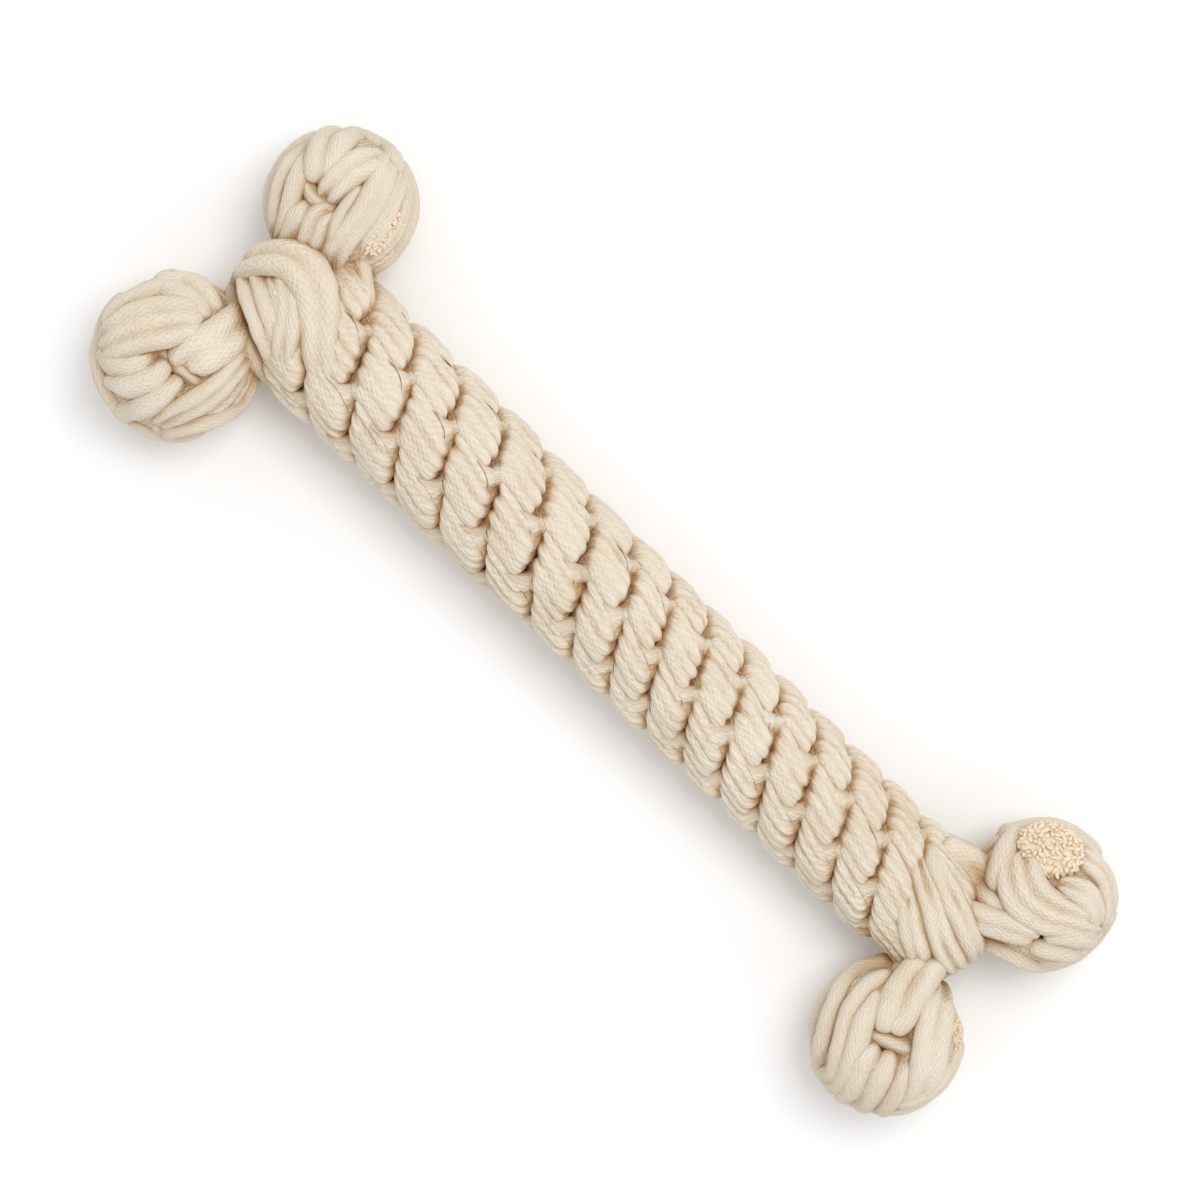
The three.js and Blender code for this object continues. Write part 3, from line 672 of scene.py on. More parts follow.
# Each piece's end, and its cords. A cord has its route, how many cords it shows and how flat it
# is. A place of a route is how far out it lies past the last crown, as a share of the end's
# reach, how far across the body, as a share of the radius, the width there, how deep it lies,
# and the face it is on: 1 above, -1 below.
END_STRANDS = {
    "left_end_band": ("left", [
        ([(-0.55, -0.4, 0.008, 0.85, 1), (-0.3, -0.16, 0.0096, 1.03, 1), (-0.04, 0.18, 0.0108, 1.08, 1),
          (0.2, 0.38, 0.0124, 1.13, 1), (0.45, 0.44, 0.013, 1.14, 1), (0.67, 0.31, 0.013, 1.11, 1),
          (0.84, 0.05, 0.0116, 1.05, 1), (0.97, -0.2, 0.009, 1, 1), (0.86, -0.24, 0.009, 1, -1),
          (0.5, 0.0, 0.01, 1, -1), (0.0, 0.3, 0.01, 0.9, -1)], 2.0, 0.5),
        ([(0.6, 0.28, 0.005, 0.86, 1), (0.46, 0.2, 0.0066, 1.0, 1), (0.27, 0.04, 0.0076, 1.04, 1),
          (0.1, -0.2, 0.0078, 1.04, 1), (-0.04, -0.45, 0.0074, 0.99, 1),
          (-0.16, -0.62, 0.006, 0.85, 1)], 2.0, 0.25),
        ([(0.6, 0.86, 0.006, 0.98, 1), (0.86, 0.52, 0.007, 1.0, 1), (0.99, 0.12, 0.007, 1.0, 1),
          (0.97, -0.3, 0.006, 0.98, 1)], 1.0, 0.2),
    ]),
    "left_fan_band": ("left", [
        ([(0.74, 0.2, 0.0034, 0.86, 1), (0.58, 0.1, 0.0048, 0.95, 1), (0.32, -0.08, 0.005, 1.0, 1),
          (0.0, -0.34, 0.0048, 0.95, 1)], 1.0, 0.15),
        ([(0.86, 0.04, 0.0034, 0.88, 1), (0.7, -0.02, 0.0052, 0.97, 1), (0.4, -0.22, 0.0054, 1.01, 1),
          (-0.02, -0.48, 0.0048, 0.95, 1)], 1.0, 0.15),
        ([(0.92, -0.1, 0.0034, 0.92, 1), (0.76, -0.18, 0.0052, 0.99, 1), (0.46, -0.4, 0.0054, 1.02, 1),
          (-0.02, -0.66, 0.005, 0.95, 1)], 1.0, 0.15),
        ([(0.98, -0.06, 0.0055, 0.97, 1), (0.9, -0.3, 0.006, 1.02, 1), (0.68, -0.54, 0.0062, 1.03, 1),
          (0.32, -0.74, 0.0062, 1.02, 1), (-0.1, -0.88, 0.0055, 0.97, 1)], 1.0, 0.15),
        ([(0.95, 0.05, 0.005, 0.98, -1), (0.7, -0.3, 0.012, 1, -1), (0.35, -0.45, 0.014, 1, -1),
          (-0.1, -0.5, 0.014, 0.95, -1)], 3.0, 0.45),
        ([(0.2, 0.6, 0.014, 0.8, 1), (0.3, 0.0, 0.018, 0.84, 1), (0.2, -0.6, 0.014, 0.8, 1)], 3.0, 0.45),
        ([(0.68, 0.45, 0.012, 0.8, 1), (0.72, 0.0, 0.014, 0.86, 1),
          (0.62, -0.45, 0.012, 0.82, 1)], 3.0, 0.45),
    ]),
    "right_end_band": ("right", [
        ([(-0.85, 0.68, 0.005, 0.8, 1), (-0.5, 0.5, 0.0064, 0.98, 1), (-0.15, 0.37, 0.007, 1.03, 1),
          (0.18, 0.25, 0.0074, 1.06, 1), (0.6, 0.09, 0.0072, 1.05, 1), (0.96, -0.03, 0.007, 1, 1),
          (0.75, -0.06, 0.007, 1, -1), (0.3, 0.1, 0.007, 1, -1), (-0.2, 0.2, 0.007, 0.9, -1)], 2.0, 0.3),
        ([(-0.9, 0.42, 0.005, 0.8, 1), (-0.5, 0.22, 0.0064, 0.98, 1), (-0.15, 0.05, 0.007, 1.03, 1),
          (0.22, -0.17, 0.0074, 1.05, 1), (0.6, -0.3, 0.0072, 1.04, 1), (0.94, -0.36, 0.007, 1, 1),
          (0.7, -0.4, 0.007, 1, -1), (0.3, -0.25, 0.007, 1, -1), (-0.2, -0.15, 0.007, 0.9, -1)], 2.0, 0.3),
        ([(-0.9, 0.12, 0.005, 0.8, 1), (-0.5, -0.12, 0.0066, 0.95, 1), (-0.15, -0.38, 0.0074, 1.0, 1),
          (0.2, -0.56, 0.007, 0.98, 1), (0.42, -0.64, 0.006, 0.88, 1)], 2.0, 0.3),
    ]),
}


def one_piece(name, pieces):
    """Several cords of one piece, kept as one object."""
    if len(pieces) > 1:
        with bpy.context.temp_override(active_object=pieces[0], selected_editable_objects=pieces):
            bpy.ops.object.join()
    pieces[0].name = name
    return pieces[0]


for name, (end, cords) in END_STRANDS.items():
    laid = []
    for i, (route, count, flat) in enumerate(cords):
        laid.append(end_cord(end, f"{name}_{i}", route, count, flat, END_SEED_STEP * i + len(name)))
    piece = one_piece(name + "_rope", laid)
    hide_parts(name)
    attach(piece, end + "_half")

# The knots. The strands that leave each corner of the plait are tied in a tight round ball. They
# are soft cotton cords that lie in turns over it, drawn hard against each other, and most turns
# go on over the knot's edge to its underside.
KNOT_HALF = {"upper_left_knot": 0.0207, "lower_left_knot": 0.0228, "upper_right_knot": 0.0204,
             "lower_right_knot": 0.0212}
KNOT_HALF_HEIGHT = 0.0217
KNOT_SQUARENESS = 2.5
KNOT_CORD_THICKNESS = 0.0052
TURN_SPREAD = 1.1
BELOW_SHARE = 0.8
UNDER_SHARE = 0.45
UNDER_DEPTH = 0.95
CLOSEST_STOPS = 0.001
KNOT_GIRTH = 0.022
KNOT_GIRTH_PER_CORD = 0.006
TURN_SEED_STEP = 7.7
CORD_SEED_STEP = 3.1
KNOT_YARN = {"Sides": 48, "Crease": 0.6, "Wander": 0.1, "Swell": 0.0004, "Wrinkle": 0.00022}


def knot_place(knot_name):
    """The knot's middle, level with the body's axis, and its half size."""
    low, high = (np.array(corner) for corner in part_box(knot_name + "_core"))
    return np.array((*((low + high) / 2)[:2], body_axis_z)), KNOT_HALF[knot_name]


def on_knot(knot, x, y, depth, face=1):
    """A place inside the knot's skin, straight below or above the point that is seen from above."""
    middle, half = knot
    across = math.hypot(x, y) / depth
    if across > 1:
        x, y, across = x / across, y / across, 1.0
    up = face * depth * (1 - across ** KNOT_SQUARENESS) ** (1 / KNOT_SQUARENESS)
    return np.array((middle[0] + x * half, middle[1] + y * half, middle[2] + up * KNOT_HALF_HEIGHT))


def past_edge(knot, stop, inset):
    """The places past an end of a cord's route, over the knot's edge and on its underside. An end
    that has a depth of its own goes no further."""
    x, y, width, *own_depth = stop
    if own_depth:
        return []
    reach = math.hypot(x, y)
    x, y = x / reach, y / reach
    return [(on_knot(knot, x, y, inset), width),
            (on_knot(knot, x * BELOW_SHARE, y * BELOW_SHARE, inset, -1), width),
            (on_knot(knot, x * UNDER_SHARE, y * UNDER_SHARE, inset * UNDER_DEPTH, -1), width)]


def knot_turn(knot, name, route, cords, flat, seed):
    """One strand or cord laid round the knot, as a piece of rope."""
    middle, half = knot
    inset = 1 - KNOT_CORD_THICKNESS / 2 / half
    stops = past_edge(knot, route[0], inset)[::-1]
    for x, y, width, *own_depth in route:
        stops.append((on_knot(knot, x, y, inset * (own_depth[0] if own_depth else 1.0)), width))
    stops += past_edge(knot, route[-1], inset)
    stops = stops[:1] + [stop for before, stop in zip(stops, stops[1:])
                         if np.linalg.norm(stop[0] - before[0]) > CLOSEST_STOPS]
    places, widths = zip(*stops)
    line, carried = smooth_line(places, [[width / 2] for width in widths], CORD_SPACING)
    outward = unit((line - middle) / (half, half, KNOT_HALF_HEIGHT))
    across = np.cross(outward, unit(np.gradient(line, axis=0)))
    half_width = carried[:, 0] * TURN_SPREAD
    half_thickness = np.minimum(half_width, KNOT_CORD_THICKNESS / 2)
    return lay_rope(name, line, across, half_width, half_thickness, Cords=cords, Flatness=flat,
                    Girth=KNOT_GIRTH + KNOT_GIRTH_PER_CORD * cords, Seed=seed, **KNOT_YARN)


# Each knot's turns, and their cords. A cord has its route, how many cords it shows and how flat
# it is. A place of a route is how far it lies from the knot's middle along the body and across
# it, as shares of the knot's half size, and the width there. A fourth number is the depth of a
# place that is tucked in or stands out, as a share of the skin's.
KNOTS = {
    "upper_left_knot": {
        "left_outer_turn": [
            ([(-0.84, 0.38, 0.0046), (-0.9, 0.03, 0.0048), (-0.81, -0.35, 0.0048), (-0.62, -0.68, 0.0048),
              (-0.36, -0.9, 0.0048)], 1, 0.15),
            ([(-0.72, 0.26, 0.0036, 0.93), (-0.71, -0.1, 0.0046), (-0.59, -0.43, 0.0048),
              (-0.41, -0.68, 0.0048), (-0.26, -0.83, 0.0046)], 1, 0.15)],
        "left_middle_turn": [
            ([(-0.66, 0.2, 0.0036, 0.92), (-0.5, -0.2, 0.005), (-0.37, -0.45, 0.0052),
              (-0.26, -0.66, 0.005), (-0.2, -0.85, 0.005)], 1, 0.15)],
        "left_inner_turn": [
            ([(-0.69, 0.6, 0.0058), (-0.62, 0.34, 0.006), (-0.46, 0.1, 0.006),
              (-0.33, -0.1, 0.0058, 0.9)], 1, 0.2),
            ([(-0.46, 0.79, 0.0062), (-0.42, 0.54, 0.0066), (-0.32, 0.28, 0.0066),
              (-0.22, 0.06, 0.006, 0.9)], 1, 0.2)],
        "top_loop": [
            ([(-0.4, 0.88, 0.006), (-0.1, 0.88, 0.0068), (0.16, 0.82, 0.0068),
              (0.3, 0.66, 0.006, 0.92)], 1, 0.2),
            ([(-0.07, -0.12, 0.0066, 0.78), (-0.09, 0.04, 0.0074, 0.98), (-0.09, 0.3, 0.0082, 1.03),
              (-0.03, 0.55, 0.0082, 1.0), (0.08, 0.74, 0.007, 0.93)], 2, 0.35)],
        "right_turn": [
            ([(0.02, 0.86, 0.006, 0.95), (0.2, 0.64, 0.007), (0.34, 0.33, 0.0076), (0.41, 0.03, 0.0076),
              (0.43, -0.27, 0.0074), (0.45, -0.55, 0.0072), (0.5, -0.78, 0.007, 1.1)], 2, 0.3),
            ([(0.13, 0.34, 0.0016, 0.97), (0.15, 0.18, 0.0028, 1.02), (0.19, -0.05, 0.003, 1.03),
              (0.26, -0.3, 0.003, 1.03), (0.38, -0.56, 0.0028, 1.02)], 1, 0.1)],
        "cut_end": [
            ([(0.28, 0.86, 0.0056), (0.6, 0.64, 0.006), (0.82, 0.3, 0.0058), (0.92, -0.08, 0.0056),
              (0.9, -0.36, 0.005)], 1, 0.2),
            ([(0.26, 0.78, 0.006, 0.92), (0.46, 0.58, 0.0085, 0.96), (0.6, 0.28, 0.0098, 0.95),
              (0.67, -0.02, 0.0098, 0.94), (0.72, -0.28, 0.008, 0.9)], 3, 0.3)],
        "lower_cord": [
            ([(-0.22, -0.3, 0.005, 0.82), (-0.18, -0.5, 0.0056), (-0.12, -0.8, 0.0056)], 1, 0.2),
            ([(0.07, -0.12, 0.005, 0.84), (0.04, -0.36, 0.0068), (0.12, -0.6, 0.007),
              (0.24, -0.84, 0.007)], 2, 0.2),
            ([(-0.5, -0.12, 0.0036, 0.96), (-0.15, -0.2, 0.0046, 0.85),
              (0.14, -0.13, 0.0036, 0.95)], 1, 0.1)],
    },
    "lower_left_knot": {
        "top_left_turn": [
            ([(-0.6, 0.56, 0.0066), (-0.46, 0.7, 0.007), (-0.23, 0.76, 0.0068), (-0.02, 0.7, 0.006, 0.93),
              (0.1, 0.62, 0.005, 0.85)], 1, 0.25),
            ([(-0.74, 0.34, 0.006, 0.9), (-0.5, 0.5, 0.0076, 0.94), (-0.24, 0.56, 0.0078, 0.94),
              (0.1, 0.52, 0.006, 0.9)], 1, 0.2)],
        "wide_turn": [
            ([(-0.55, 0.53, 0.006, 0.95), (-0.7, 0.22, 0.0066), (-0.79, -0.06, 0.0066),
              (-0.74, -0.3, 0.006, 0.94)], 1, 0.2),
            ([(0.04, 0.5, 0.009, 0.9), (-0.09, 0.4, 0.012, 1.0), (-0.28, 0.16, 0.0138, 1.03),
              (-0.46, -0.11, 0.0136, 1.03), (-0.57, -0.37, 0.0118, 0.98),
              (-0.6, -0.47, 0.01, 0.88)], 3, 0.4)],
        "outer_turn": [
            ([(-0.9, 0.0, 0.0048), (-0.9, -0.25, 0.0052), (-0.76, -0.49, 0.0052), (-0.48, -0.7, 0.0054),
              (-0.23, -0.82, 0.0054), (0.05, -0.9, 0.0054)], 1, 0.2)],
        "lower_cord": [
            ([(-0.14, -0.12, 0.005, 0.87), (-0.18, -0.36, 0.006), (-0.36, -0.53, 0.006),
              (-0.6, -0.54, 0.005, 0.93)], 1, 0.2),
            ([(0.05, -0.08, 0.005, 0.86), (0.07, -0.36, 0.0064), (-0.07, -0.6, 0.0064),
              (-0.34, -0.72, 0.0056, 0.97)], 1, 0.2),
            ([(0.3, -0.12, 0.005, 0.87), (0.3, -0.41, 0.0062), (0.21, -0.67, 0.0062),
              (0.02, -0.88, 0.006)], 1, 0.2),
            ([(-0.14, -0.04, 0.0038, 0.9), (0.23, -0.04, 0.0048, 0.8),
              (0.56, -0.04, 0.0038, 0.92)], 1, 0.1)],
        "neck_tuck": [
            ([(0.34, 1.05, 0.0105, 1.2), (0.34, 0.76, 0.0108, 1.04), (0.34, 0.49, 0.0112, 1.02),
              (0.29, 0.26, 0.0112, 1.02), (0.23, 0.08, 0.0104, 0.94), (0.22, -0.02, 0.009, 0.8)], 2, 0.4)],
        "right_turn": [
            ([(0.58, 0.62, 0.006, 1.0), (0.65, 0.36, 0.0072), (0.67, 0.08, 0.0074), (0.62, -0.2, 0.0074),
              (0.52, -0.46, 0.0068), (0.4, -0.68, 0.006, 0.95)], 2, 0.25),
            ([(0.84, 0.44, 0.0048), (0.89, 0.14, 0.0052), (0.86, -0.14, 0.0052), (0.74, -0.4, 0.005),
              (0.56, -0.66, 0.0048)], 1, 0.2),
            ([(0.84, -0.34, 0.0044, 0.95), (0.69, -0.6, 0.0048), (0.46, -0.8, 0.0048),
              (0.2, -0.9, 0.0046)], 1, 0.2)],
    },
    "upper_right_knot": {
        "top_turn": [
            ([(-0.12, 0.6, 0.0056, 0.9), (0.08, 0.7, 0.0078, 1.0), (0.34, 0.68, 0.0086, 1.0),
              (0.58, 0.5, 0.008, 1.0), (0.74, 0.24, 0.006, 0.93)], 2, 0.25),
            ([(-0.86, 0.35, 0.006), (-0.72, 0.52, 0.006), (-0.5, 0.75, 0.006), (-0.2, 0.9, 0.006),
              (0.1, 0.92, 0.0056)], 1, 0.2)],
        "half_moon_turn": [
            ([(-0.08, 0.2, 0.0046, 0.92), (0.08, 0.31, 0.0064, 1.02), (0.28, 0.36, 0.0072, 1.06),
              (0.5, 0.29, 0.0062, 1.03), (0.66, 0.16, 0.0042, 0.93)], 2, 0.2)],
        "end_turn": [
            ([(-0.8, 0.3, 0.0062), (-0.78, 0.06, 0.0066, 1.02), (-0.66, -0.2, 0.0066, 1.02),
              (-0.5, -0.36, 0.006, 0.93)], 1, 0.2),
            ([(-0.6, 0.2, 0.009, 0.9), (-0.52, 0.02, 0.0116, 1.02), (-0.28, -0.14, 0.0122, 1.05),
              (0.06, -0.12, 0.0112, 1.05), (0.36, 0.02, 0.0092, 1.02), (0.62, 0.14, 0.0074, 0.97),
              (0.8, 0.2, 0.006, 0.9)], 3, 0.4)],
        "right_turn": [
            ([(0.74, 0.38, 0.0056), (0.88, 0.06, 0.006), (0.87, -0.22, 0.006), (0.72, -0.52, 0.006),
              (0.5, -0.76, 0.0056)], 1, 0.2),
            ([(0.84, 0.04, 0.0052, 0.97), (0.62, -0.07, 0.006), (0.4, -0.22, 0.006),
              (0.27, -0.36, 0.005, 0.88)], 1, 0.2),
            ([(0.86, -0.24, 0.0052, 0.97), (0.62, -0.33, 0.006), (0.4, -0.48, 0.006),
              (0.24, -0.55, 0.005, 0.88)], 1, 0.2)],
        "lower_cord": [
            ([(-0.8, -0.98, 0.007, 1.4), (-0.5, -0.78, 0.0078, 1.2), (-0.19, -0.62, 0.0082, 1.05),
              (0.05, -0.5, 0.0076), (0.2, -0.42, 0.006, 0.87)], 2, 0.3),
            ([(-0.75, -0.5, 0.005, 1.05), (-0.45, -0.5, 0.0056, 1.0), (-0.1, -0.4, 0.005, 0.9)], 1, 0.2)],
        "outer_turn": [
            ([(-0.5, -1.0, 0.0048, 1.25), (-0.2, -0.92, 0.0052, 1.1), (0.16, -0.81, 0.0056),
              (0.44, -0.72, 0.0056), (0.68, -0.64, 0.0052)], 1, 0.2)],
        "cut_end": [
            ([(-0.28, 0.36, 0.011, 0.62), (-0.33, 0.46, 0.0122, 0.72),
              (-0.36, 0.54, 0.0126, 0.8)], 2, 0.2)],
    },
    "lower_right_knot": {
        "left_outer_turn": [
            ([(-0.62, 0.62, 0.0056), (-0.82, 0.3, 0.006), (-0.79, -0.12, 0.006), (-0.6, -0.52, 0.0058),
              (-0.32, -0.82, 0.0054)], 1, 0.2),
            ([(-0.66, -0.56, 0.0038, 0.95), (-0.36, -0.86, 0.0042), (-0.05, -0.93, 0.0042),
              (0.28, -0.88, 0.0042), (0.58, -0.7, 0.004)], 1, 0.15)],
        "left_inner_turn": [
            ([(-0.5, 0.6, 0.0046, 0.97), (-0.65, 0.32, 0.005), (-0.61, -0.07, 0.005),
              (-0.42, -0.43, 0.005), (-0.22, -0.74, 0.0048)], 1, 0.15),
            ([(-0.5, 0.36, 0.0046, 0.94), (-0.45, 0.0, 0.0058), (-0.3, -0.3, 0.006),
              (-0.12, -0.62, 0.006), (-0.06, -0.84, 0.0056)], 1, 0.2)],
        "neck_tuck": [
            ([(-0.36, 1.14, 0.0052, 1.42), (-0.4, 0.82, 0.0058, 1.16), (-0.37, 0.5, 0.0064),
              (-0.28, 0.2, 0.0064), (-0.2, 0.0, 0.0056, 0.88)], 1, 0.2),
            ([(-0.22, 1.16, 0.0052, 1.43), (-0.19, 0.86, 0.0058, 1.18), (-0.14, 0.6, 0.0064, 1.05),
              (-0.1, 0.34, 0.0062, 1.02), (-0.1, 0.1, 0.0056, 0.9)], 1, 0.2)],
        "wide_turn": [
            ([(0.04, 0.92, 0.009), (0.12, 0.72, 0.0098, 1.02), (0.28, 0.46, 0.0104, 1.03),
              (0.5, 0.14, 0.0104, 1.03), (0.64, -0.16, 0.0092), (0.68, -0.36, 0.008, 0.92)], 2, 0.35),
            ([(0.77, 0.46, 0.0052), (0.9, 0.14, 0.0056), (0.88, -0.14, 0.0056), (0.72, -0.46, 0.0056),
              (0.54, -0.7, 0.005)], 1, 0.2),
            ([(0.7, 0.3, 0.005, 0.94), (0.76, 0.02, 0.0056), (0.68, -0.28, 0.0056),
              (0.54, -0.52, 0.005, 0.96)], 1, 0.2)],
        "lower_cord": [
            ([(-0.12, -0.12, 0.0052, 0.87), (-0.1, -0.38, 0.0064), (0.04, -0.66, 0.0064),
              (0.1, -0.86, 0.006)], 1, 0.2),
            ([(0.07, -0.06, 0.0044, 0.87), (0.19, -0.38, 0.0056), (0.32, -0.7, 0.0056)], 1, 0.2),
            ([(-0.5, -0.18, 0.004, 0.95), (-0.05, 0.0, 0.0048, 0.82), (0.42, 0.18, 0.004, 0.95)], 1, 0.1)],
        "lower_outer_cord": [
            ([(0.27, 0.02, 0.0042, 0.9), (0.42, -0.28, 0.0054), (0.54, -0.6, 0.0052)], 1, 0.2)],
        "cut_end": [
            ([(0.34, 0.5, 0.006, 0.7), (0.5, 0.62, 0.0072, 0.8), (0.56, 0.66, 0.0074, 0.86)], 1, 0.2)],
    },
}


def turn_cords(knot_name, turn):
    """The cords of one turn of a knot, each laid along its route."""
    number = list(KNOTS[knot_name]).index(turn)
    seed = TURN_SEED_STEP * number + KNOT_HALF[knot_name] * MILLIMETRES
    laid = []
    for i, (route, count, flat) in enumerate(KNOTS[knot_name][turn]):
        laid.append(knot_turn(knot_place(knot_name), f"{knot_name}_{turn}_{i}", route, float(count), flat,
                              seed + CORD_SEED_STEP * i))
    return laid


for knot_name, turns in KNOTS.items():
    for turn in turns:
        if turn == "cut_end":
            continue
        piece = one_piece(f"{knot_name}_{turn}_rope", turn_cords(knot_name, turn))
        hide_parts(f"{knot_name}_{turn}")
        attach(piece, knot_name)

# Cut ends. Three of the knots show where a strand was cut off close to the knot. There its
# cotton yarns spring open in a low dome of short curled tufts.
DOME_RINGS = 10
DOME_SIDES = 20
DOME_RISE = 0.34
TUFT_DEPTH = 0.86
TUFT_ROUNDNESS = 2
TUFTS_PER_SQUARE_METRE = 4.0e6
TUFT_SMALLEST = (0.6, 0.6, 1.0)
TUFT_LARGEST = (1.0, 1.0, 1.9)
CUT_PALE = (0.84, 0.735, 0.58)
# The warm colour is both painted shade in the tufts' hollows and the cut yarn's own warmer tone in patches
CUT_TONE_AND_SHADE = (0.64, 0.45, 0.25)
CUT_RELIEF = 0.4
# Domes: place from the knot's middle along the body and across it, half sizes, spacing, tuft, seed
CUT_DOMES = {
    "upper_left_knot": [(0.71, 0.08, 0.0040, 0.0068, 0.00105, 0.00065, 3)],
    "upper_right_knot": [(-0.4, 0.5, 0.0086, 0.0078, 0.00115, 0.0008, 5)],
    "lower_right_knot": [(0.56, 0.62, 0.0042, 0.0042, 0.0010, 0.0006, 8)],
}
cut_yarns = node_group("cut yarns", (
    ("Dome", "NodeSocketGeometry", None),
    ("Spacing", "NodeSocketFloat", 0.0009),
    ("Tuft", "NodeSocketFloat", 0.0006),
    ("Seed", "NodeSocketInt", 1),
    ("Yarn", "NodeSocketMaterial", None),
), "Tufts")


def build_cut_yarns(tree):
    given = tree_inputs(tree)
    spots = new_node(tree, "GeometryNodeDistributePointsOnFaces", {
        "Mesh": given["Dome"],
        "Distance Min": given["Spacing"],
        "Density Max": TUFTS_PER_SQUARE_METRE,
        "Seed": given["Seed"],
    }, "Points", distribute_method="POISSON")
    bead = new_node(tree, "GeometryNodeMeshIcoSphere",
                    {"Subdivisions": TUFT_ROUNDNESS, "Radius": given["Tuft"]}, "Mesh")
    angles = {0: (-math.pi,) * 3, 1: (math.pi,) * 3, "Seed": given["Seed"]}
    turned = new_node(tree, "FunctionNodeRandomValue", angles, data_type="FLOAT_VECTOR")
    sizes = {0: TUFT_SMALLEST, 1: TUFT_LARGEST}
    sized = new_node(tree, "FunctionNodeRandomValue", sizes, data_type="FLOAT_VECTOR")
    tufts = {"Points": spots, "Instance": bead, "Rotation": turned, "Scale": sized}
    tufts = new_node(tree, "GeometryNodeInstanceOnPoints", tufts, "Instances")
    together = new_node(tree, "GeometryNodeJoinGeometry", {0: tufts})
    fill(together.socket.node, {0: given["Dome"]})
    finish_tree(tree, together, given["Yarn"])


build_cut_yarns(cut_yarns)
cut_cotton = cotton_material("cut cotton yarn", CUT_PALE, CUT_TONE_AND_SHADE, CUT_RELIEF)


def ball_faces(rings, sides):
    """The faces of a ball whose points are one pole, rings of points below it and the other pole."""
    last = 1 + (rings - 1) * sides
    faces = []
    for side in range(sides):
        after = (side + 1) % sides
        faces.append((0, 1 + side, 1 + after))
        faces.append((last, last - sides + after, last - sides + side))
        for ring in range(rings - 2):
            row = 1 + ring * sides
            faces.append((row + side, row + sides + side, row + sides + after, row + after))
    return faces


def tuft_dome(name, knot, x, y, half_across, half_up, spacing, tuft, seed):
    """A low dome of cut yarns on the knot's skin."""
    place = on_knot(knot, x, y, TUFT_DEPTH)
    outward = place - knot[0]
    outward = outward / np.linalg.norm(outward)
    right = np.cross((0.0, 1.0, 0.0), outward)
    right = right / np.linalg.norm(right)
    above = np.cross(outward, right)
    points = [place + outward * half_across * DOME_RISE]
    for ring in range(1, DOME_RINGS):
        down = math.pi * ring / DOME_RINGS
        for side in range(DOME_SIDES):
            around = 2 * math.pi * side / DOME_SIDES
            points.append(place + right * half_across * math.sin(down) * math.cos(around)
                          + above * half_up * math.sin(down) * math.sin(around)
                          + outward * half_across * DOME_RISE * math.cos(down))
    points.append(place - outward * half_across * DOME_RISE)
    dome = bpy.data.meshes.new(name)
    dome.from_pydata([tuple(point) for point in points], [], ball_faces(DOME_RINGS, DOME_SIDES))
    inputs = {"Spacing": spacing, "Tuft": tuft, "Seed": seed, "Yarn": cut_cotton}
    return grown(name, dome, cut_yarns, inputs)


for knot_name, domes in CUT_DOMES.items():
    laid = turn_cords(knot_name, "cut_end")
    for i, dome in enumerate(domes):
        laid.append(tuft_dome(f"{knot_name}_cut_end_tufts_{i}", knot_place(knot_name), *dome))
    piece = one_piece(f"{knot_name}_cut_end_rope", laid)
    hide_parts(f"{knot_name}_cut_end")
    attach(piece, knot_name)

# Under turns. On the underside of each knot three strands lie side by side, and one strand runs
# round the knot's side beneath the turns, in a falling spiral. They are of the same soft cord.
UNDER_LEVELS = (-0.42, 0.0, 0.42)
UNDER_ROUTE = ((-0.86, 0.9), (-0.6, 0.97), (-0.2, 1.0), (0.2, 1.0), (0.6, 0.97), (0.86, 0.9))
UNDER_LEAN = 0.12
UNDER_HALF_WIDTH = 0.0055
UNDER_SPACING = 0.0008
UNDER_SEED_STEP = 2.0
UNDER_YARN = {"Sides": 40, "Cords": 2.0, "Crease": 0.3, "Wander": 0.12, "Swell": 0.0004,
              "Wrinkle": 0.00022, "Flatness": 0.4, "Girth": 0.03}
WRAP_STEPS = 40
WRAP_TURNS = 1.9
WRAP_START_PER_METRE = 500
WRAP_TOP = 0.32
WRAP_BOTTOM = -0.72
WRAP_DEPTH = 0.81
WRAP_WIDTH = 0.0118
WRAP_SPACING = 0.0009
WRAP_SEED = 17.0
WRAP_YARN = {**UNDER_YARN, "Sides": 48, "Cords": 3.0, "Crease": 0.5, "Flatness": 0.5, "Girth": 0.034}


def under_cord(name, knot, level, seed):
    """A strand over the knot's underside, along the body and at a level across it."""
    middle, half = knot
    inset = 1 - KNOT_CORD_THICKNESS / 2 / half
    places = [on_knot(knot, x, level + UNDER_LEAN * x, inset * depth, -1) for x, depth in UNDER_ROUTE]
    line, carried = smooth_line(places, [[UNDER_HALF_WIDTH]] * len(places), UNDER_SPACING)
    across = np.cross(unit(line - middle), unit(np.gradient(line, axis=0)))
    half_thickness = KNOT_CORD_THICKNESS / 2
    return lay_rope(name, line, across, carried[:, 0], half_thickness, Seed=seed, **UNDER_YARN)


